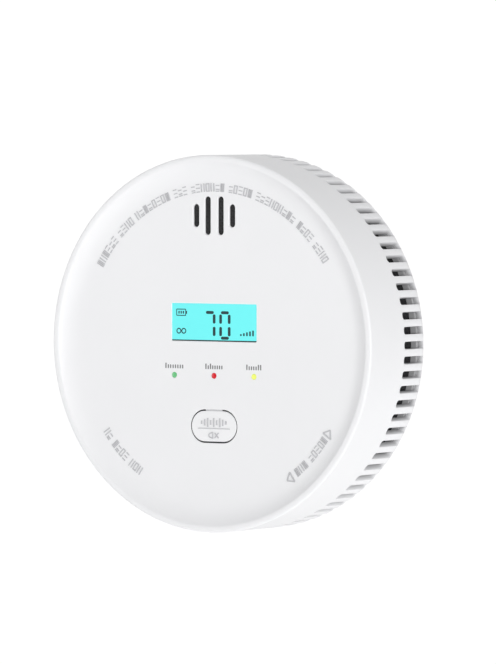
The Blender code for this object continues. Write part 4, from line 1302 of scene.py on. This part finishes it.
def screw_boss(shape, place):
    """The sleeve round a long screw: wide for its head, narrow for its thread."""
    head, thread, outside = HEAD_ROOM + 0.03 * MM, 1.4 * MM, 4.25 * MM
    profile = [(head, FLOOR_BACK + 0.3 * MM), (head, HEAD_SEAT), (thread, HEAD_SEAT), (thread, BOSS_TOP)]
    profile += [(outside - 0.3 * MM, BOSS_TOP), (outside, BOSS_TOP - 0.3 * MM)]
    profile.append((outside, FLOOR_FRONT - 0.3 * MM))
    shape.tube(rings(shape, profile, 32, place))


def rear_shell():
    shape = Shape()
    holes = [rounded_box(*BAY, 0.6 * MM, steps=3)] + hook_slots()
    holes += [disc(HEAD_ROOM, place, 8) for place in CASE_SCREWS]
    plate(shape, disc(FLOOR_RADIUS, steps=36), holes, FLOOR_BACK, FLOOR_FRONT, 0.12 * MM)
    battery_bay(shape)
    for place in CASE_SCREWS:
        screw_boss(shape, place)
    inside, outside = BODY_RADIUS - 5.5 * MM, BODY_RADIUS - 4.7 * MM
    turned_band(shape, inside, outside, FLOOR_FRONT - 0.3 * MM, FLOOR_FRONT + 1.5 * MM)
    # The floor's edge behind the vents carries the same painted shade as the vent walls.
    return shape.piece("rear_shell", "alarm", "white_abs", white_with_painted_shade, nodes=["rear_housing"])


def wider(outline, margin):
    """The same outline, grown by a margin."""
    return lambda grow=0.0: outline(grow + margin)


def back_label():
    """A blank label with a thin raised border round it, and a curved arrow under the bay."""
    rooted = FLOOR_BACK + ROOT
    outline = rounded_box(*LABEL, 1.2 * MM, LABEL_CENTRE, 4)
    label = Shape()
    plate(label, outline, [], FLOOR_BACK - 0.08 * MM, rooted, 0.02 * MM)
    label.piece("blank_label", "alarm", "white_abs", label_paper)

    marks = Shape()
    border, inner = wider(outline, 0.6 * MM), wider(outline, 0.25 * MM)
    plate(marks, border, [inner], FLOOR_BACK - 0.15 * MM, rooted, 0.04 * MM)
    arrow, start, end = 26 * MM, radians(-115), radians(-70)
    tip = [polar(arrow - 1.5 * MM, end), polar(arrow, end + 3 * MM / arrow), polar(arrow + 1.5 * MM, end)]
    for corners in (arc_band(arrow, 0.4 * MM, start, end, 16)(), tip):
        marks.block(corners, level(rooted), level(FLOOR_BACK - 0.2 * MM))
    return marks.piece("back_marks", "alarm", "white_abs", white)


rear_shell()
back_label()
print("rear shell with", len(hook_slots()), "hook slots and", len(CASE_SCREWS), "screw recesses")

# %% [markdown]
# ## The battery door
# The door is a flat plate with bullnose edges, so its hinged edge can roll in its gap. A thumb grip is
# sunk into its back, with three ribs across it. Its two pins sit in the bay's walls. A recess is just a
# hole in the back's flat area whose walls end on a floor of their own.

# %% Door
DOOR_THICKNESS = 1.8 * MM
GRIP = (14 * MM, 4.5 * MM)
DOOR_BACK = FLOOR_BACK + 0.4 * MM


def turned_along_x(shape, profile, y, depth, steps=32):
    """A profile of (x, radius) turned about a line along x."""
    loops = []
    for x, radius in profile:
        turn = [2 * pi * k / steps for k in range(steps)]
        reach = max(radius, 1e-5)
        loops.append([shape.bm.verts.new((x, -depth - reach * sin(t), y + reach * cos(t))) for t in turn])
    shape.strips(loops)
    close_ends(shape, loops, [radius for _, radius in profile])


def battery_door():
    shape = Shape()
    top, foot, pin_reach = BAY[1] / 2 - 0.3 * MM, -BAY[1] / 2 + 0.3 * MM, -door_low.x
    outline = rounded_box(BAY[0] - 0.6 * MM, top - foot, 1.2 * MM, (0, (top + foot) / 2), 4)
    bullnose = rounded_edge(DOOR_THICKNESS / 2 - 0.03 * MM, 5)
    front = DOOR_BACK + DOOR_THICKNESS
    loops = [shape.loop(outline(-inset), front - drop) for inset, drop in bullnose]
    loops += [shape.loop(outline(-inset), DOOR_BACK + drop) for inset, drop in reversed(bullnose)]
    shape.strips(loops)
    shape.fill(loops[0])
    grip_y = foot + 5 * MM
    grip = rounded_box(*GRIP, GRIP[1] / 2, (0, grip_y), 8)
    section = [(inset, DOOR_BACK + drop) for inset, drop in rounded_edge(0.25 * MM)]
    section += [(0, DOOR_BACK + 0.6 * MM), (-0.2 * MM, DOOR_BACK + 0.8 * MM)]
    recess = [shape.loop(grip(grow), depth) for grow, depth in section]
    shape.strips(recess)
    shape.fill(loops[-1], recess[0])
    shape.fill(recess[-1])
    for k in (-1, 0, 1):
        rib = rounded_box(7.5 * MM, 0.6 * MM, 0.3 * MM, (0, grip_y + k * 1.25 * MM), 3)
        plate(shape, rib, [], DOOR_BACK + 0.3 * MM, DOOR_BACK + 1.0 * MM, 0.15 * MM)
    pin = [(-pin_reach, 0), (-pin_reach, 0.45 * MM), (-pin_reach + 0.15 * MM, 0.6 * MM)]
    pin += [(pin_reach - 0.15 * MM, 0.6 * MM), (pin_reach, 0.45 * MM), (pin_reach, 0)]
    turned_along_x(shape, pin, top - DOOR_THICKNESS / 2, DOOR_BACK + DOOR_THICKNESS / 2, 16)
    return shape.piece("battery_door", "battery_door", "white_abs", white, nodes=["battery_cover"])


battery_door()
print(f"door {(BAY[0] - 0.6 * MM) / MM:.1f} mm wide, its pins reach {-door_low.x / MM:.1f} mm")

# %% [markdown]
# ## The cells
# A cell is a steel can in a shrunk sleeve. The sleeve curls over both ends, the positive end has a nub
# with a groove round it, and a paler band marks that end. Each is one profile turned along x.

# %% Cells
CELL_RADIUS = (cell_high.z - cell_low.z) / 2
CELL_DEPTH = -(cell_low.y + cell_high.y) / 2
CELL_Y = (cell_high.z + cell_low.z) / 2
NUB = 1.0 * MM


def cell(name, side):
    """Side is 1 for the upper cell, whose nub points right, and -1 for the lower."""
    low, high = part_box(name)
    start = low.x if side == 1 else high.x
    body = high.x - low.x - NUB
    seam, skin, can = 0.72 * body, CELL_RADIUS - 0.03 * MM, 7.0 * MM
    sleeved = [(0.05, 5.9), (0.0, 6.5), (0.15, CELL_RADIUS / MM - 0.2), (0.6, CELL_RADIUS / MM)]
    sleeved = [(along * MM, radius * MM) for along, radius in sleeved]
    sleeved += [(seam, CELL_RADIUS), (seam + 0.1 * MM, CELL_RADIUS - 0.04 * MM)]
    band = [(seam, skin), (body - 0.6 * MM, skin), (body - 0.15 * MM, CELL_RADIUS - 0.2 * MM)]
    band += [(body, 6.5 * MM), (body - 0.05 * MM, 5.9 * MM)]
    ends = [(0.12 * MM, 0), (0.12 * MM, 5.4 * MM), (0.3 * MM, 6.2 * MM), (0.3 * MM, can)]
    ends += [(body - 0.3 * MM, can), (body - 0.3 * MM, 6.2 * MM), (body - 0.1 * MM, 5.4 * MM)]
    ends += [(body - 0.1 * MM, 3.4 * MM), (body - 0.3 * MM, 3.0 * MM), (body, 2.7 * MM)]
    ends += [(body + 0.7 * MM, 2.7 * MM), (body + NUB, 2.3 * MM), (body + NUB, 0)]
    for part, profile, slot, material, nodes in (
        ("sleeve", sleeved, "cell_wrap", sleeve, []),
        ("band", band, "cell_wrap", pale_sleeve, []),
        ("can", ends, "steel", steel, [name]),
    ):
        shape = Shape()
        placed = [(start + side * along, radius) for along, radius in profile]
        turned_along_x(shape, placed, side * CELL_Y, CELL_DEPTH, 48)
        shape.piece(f"{name}_{part}", "alarm", slot, material, nodes=nodes)


cell("battery_upper", 1)
cell("battery_lower", -1)
print(f"cells of {2 * CELL_RADIUS / MM:.1f} mm")

# %% [markdown]
# ## Camera, floor and light
# A long lens far away gives the flat, calm perspective of a product picture. The alarm hangs in the
# middle of a white studio: a pale floor well below it, and a surround that glows on its left, above and
# behind. A broad key light grazes the face from the right, which draws the shallow dish. A weak fill
# comes from the left. The floor would stop any far light from below, so two soft boxes stand above it,
# one in front and one under the alarm.

# %% Camera
AZIMUTH, ELEVATION = radians(32.15), radians(2.04)
DISTANCE = 1.707
back = Vector((sin(AZIMUTH) * cos(ELEVATION), -cos(AZIMUTH) * cos(ELEVATION), sin(ELEVATION)))
right = Vector((cos(AZIMUTH), sin(AZIMUTH), 0))
above = back.cross(right)

camera_data = bpy.data.cameras.new("studio_camera")
camera_data.lens = 344.6
camera_data.sensor_width = 36
camera_data.clip_end = 50
camera = bpy.data.objects.new("studio_camera", camera_data)
bpy.context.scene.collection.objects.link(camera)
camera.location = back * DISTANCE
aim = above * 2.28 * MM - right * 6.28 * MM
camera.rotation_euler = (aim - camera.location).to_track_quat("-Z", "Y").to_euler()
bpy.context.scene.camera = camera
print("camera at", [round(value, 3) for value in camera.location], "m")
print("it aims at", [round(value / MM, 1) for value in aim], "mm")


# %% Floor
FLOOR_DROP = 0.5


def studio_floor():
    bm = bmesh.new()
    bmesh.ops.create_circle(bm, cap_ends=True, segments=96, radius=4.0)
    mesh = bpy.data.meshes.new("studio_floor")
    bm.to_mesh(mesh)
    bm.free()
    floor = bpy.data.objects.new("studio_floor", mesh)
    floor.location = (0, 0, -FLOOR_DROP)
    bpy.context.scene.collection.objects.link(floor)
    finish = Finish("floor_paper", Roughness=0.8, Emission_Strength=0.27)
    finish.drive("Base Color", finish.blend(finish.noise(0.2), (0.86, 0.86, 0.86), (0.89, 0.89, 0.89)))
    finish.shader.inputs["Emission Color"].default_value = (1, 1, 1, 1)
    mesh.materials.append(finish.material)
    return floor


studio_floor()
print(f"floor {FLOOR_DROP} m below the alarm's centre")


# %% Surround
def surround(left, top, rear, shown):
    """A studio whose walls glow on three sides, each by its strength, and look evenly white."""
    world = bpy.data.worlds.new("studio_surround")
    bpy.context.scene.world = world
    world.use_nodes = True
    walls = Nodes(world.node_tree)
    way = walls.node("ShaderNodeTexCoord", output="Generated")
    glow = None
    for strength, side in ((left, (-1, 0, 0)), (top, (0, 0, 1)), (rear, (0, 1, 0))):
        turned_to = {0: way, 1: side}
        facing = walls.node("ShaderNodeVectorMath", {"operation": "DOT_PRODUCT"}, turned_to, "Value")
        share = facing.maths("MAXIMUM", facing, 0.0) * strength
        glow = share if glow is None else glow + share
    seen = walls.node("ShaderNodeLightPath", output="Is Camera Ray")
    backdrop = walls.tree.nodes["Background"]
    backdrop.inputs["Color"].default_value = (1, 1, 1, 1)
    walls.tree.links.new((glow * (1 - seen) + seen * shown).socket, backdrop.inputs["Strength"])


surround(left=0.92, top=0.47, rear=0.45, shown=1.05)
print("surround glows to the left, above and behind")


# %% Lights
def soft_sun(name, azimuth, elevation, strength, softness=25):
    """A broad light from a direction, as degrees round from the front and up from level."""
    light = bpy.data.lights.new(name, "SUN")
    light.angle = radians(softness)
    light.energy = strength
    lamp = bpy.data.objects.new(name, light)
    around, up = radians(azimuth), radians(elevation)
    way = Vector((sin(around) * cos(up), -cos(around) * cos(up), sin(up)))
    lamp.rotation_euler = way.to_track_quat("Z", "Y").to_euler()
    bpy.context.scene.collection.objects.link(lamp)
    return lamp


def soft_box(name, place, size, power):
    """A round soft box that looks at the alarm and isn't seen itself."""
    light = bpy.data.lights.new(name, "AREA")
    light.shape = "DISK"
    light.size = size
    light.energy = power
    lamp = bpy.data.objects.new(name, light)
    lamp.location = place
    lamp.rotation_euler = Vector(place).to_track_quat("Z", "Y").to_euler()
    lamp.visible_camera = False
    bpy.context.scene.collection.objects.link(lamp)
    return lamp


bpy.context.scene.view_settings.view_transform = "Standard"
soft_sun("key_light", 57, 0, 2.27)
soft_sun("left_fill", -50, 0, 0.34)
soft_box("front_fill", (0.39, -1.06, -0.38), 0.5, 0.5)
soft_box("low_bounce", (-0.05, 0.12, -0.42), 0.3, 0.17)
print("two broad lights and two soft boxes")
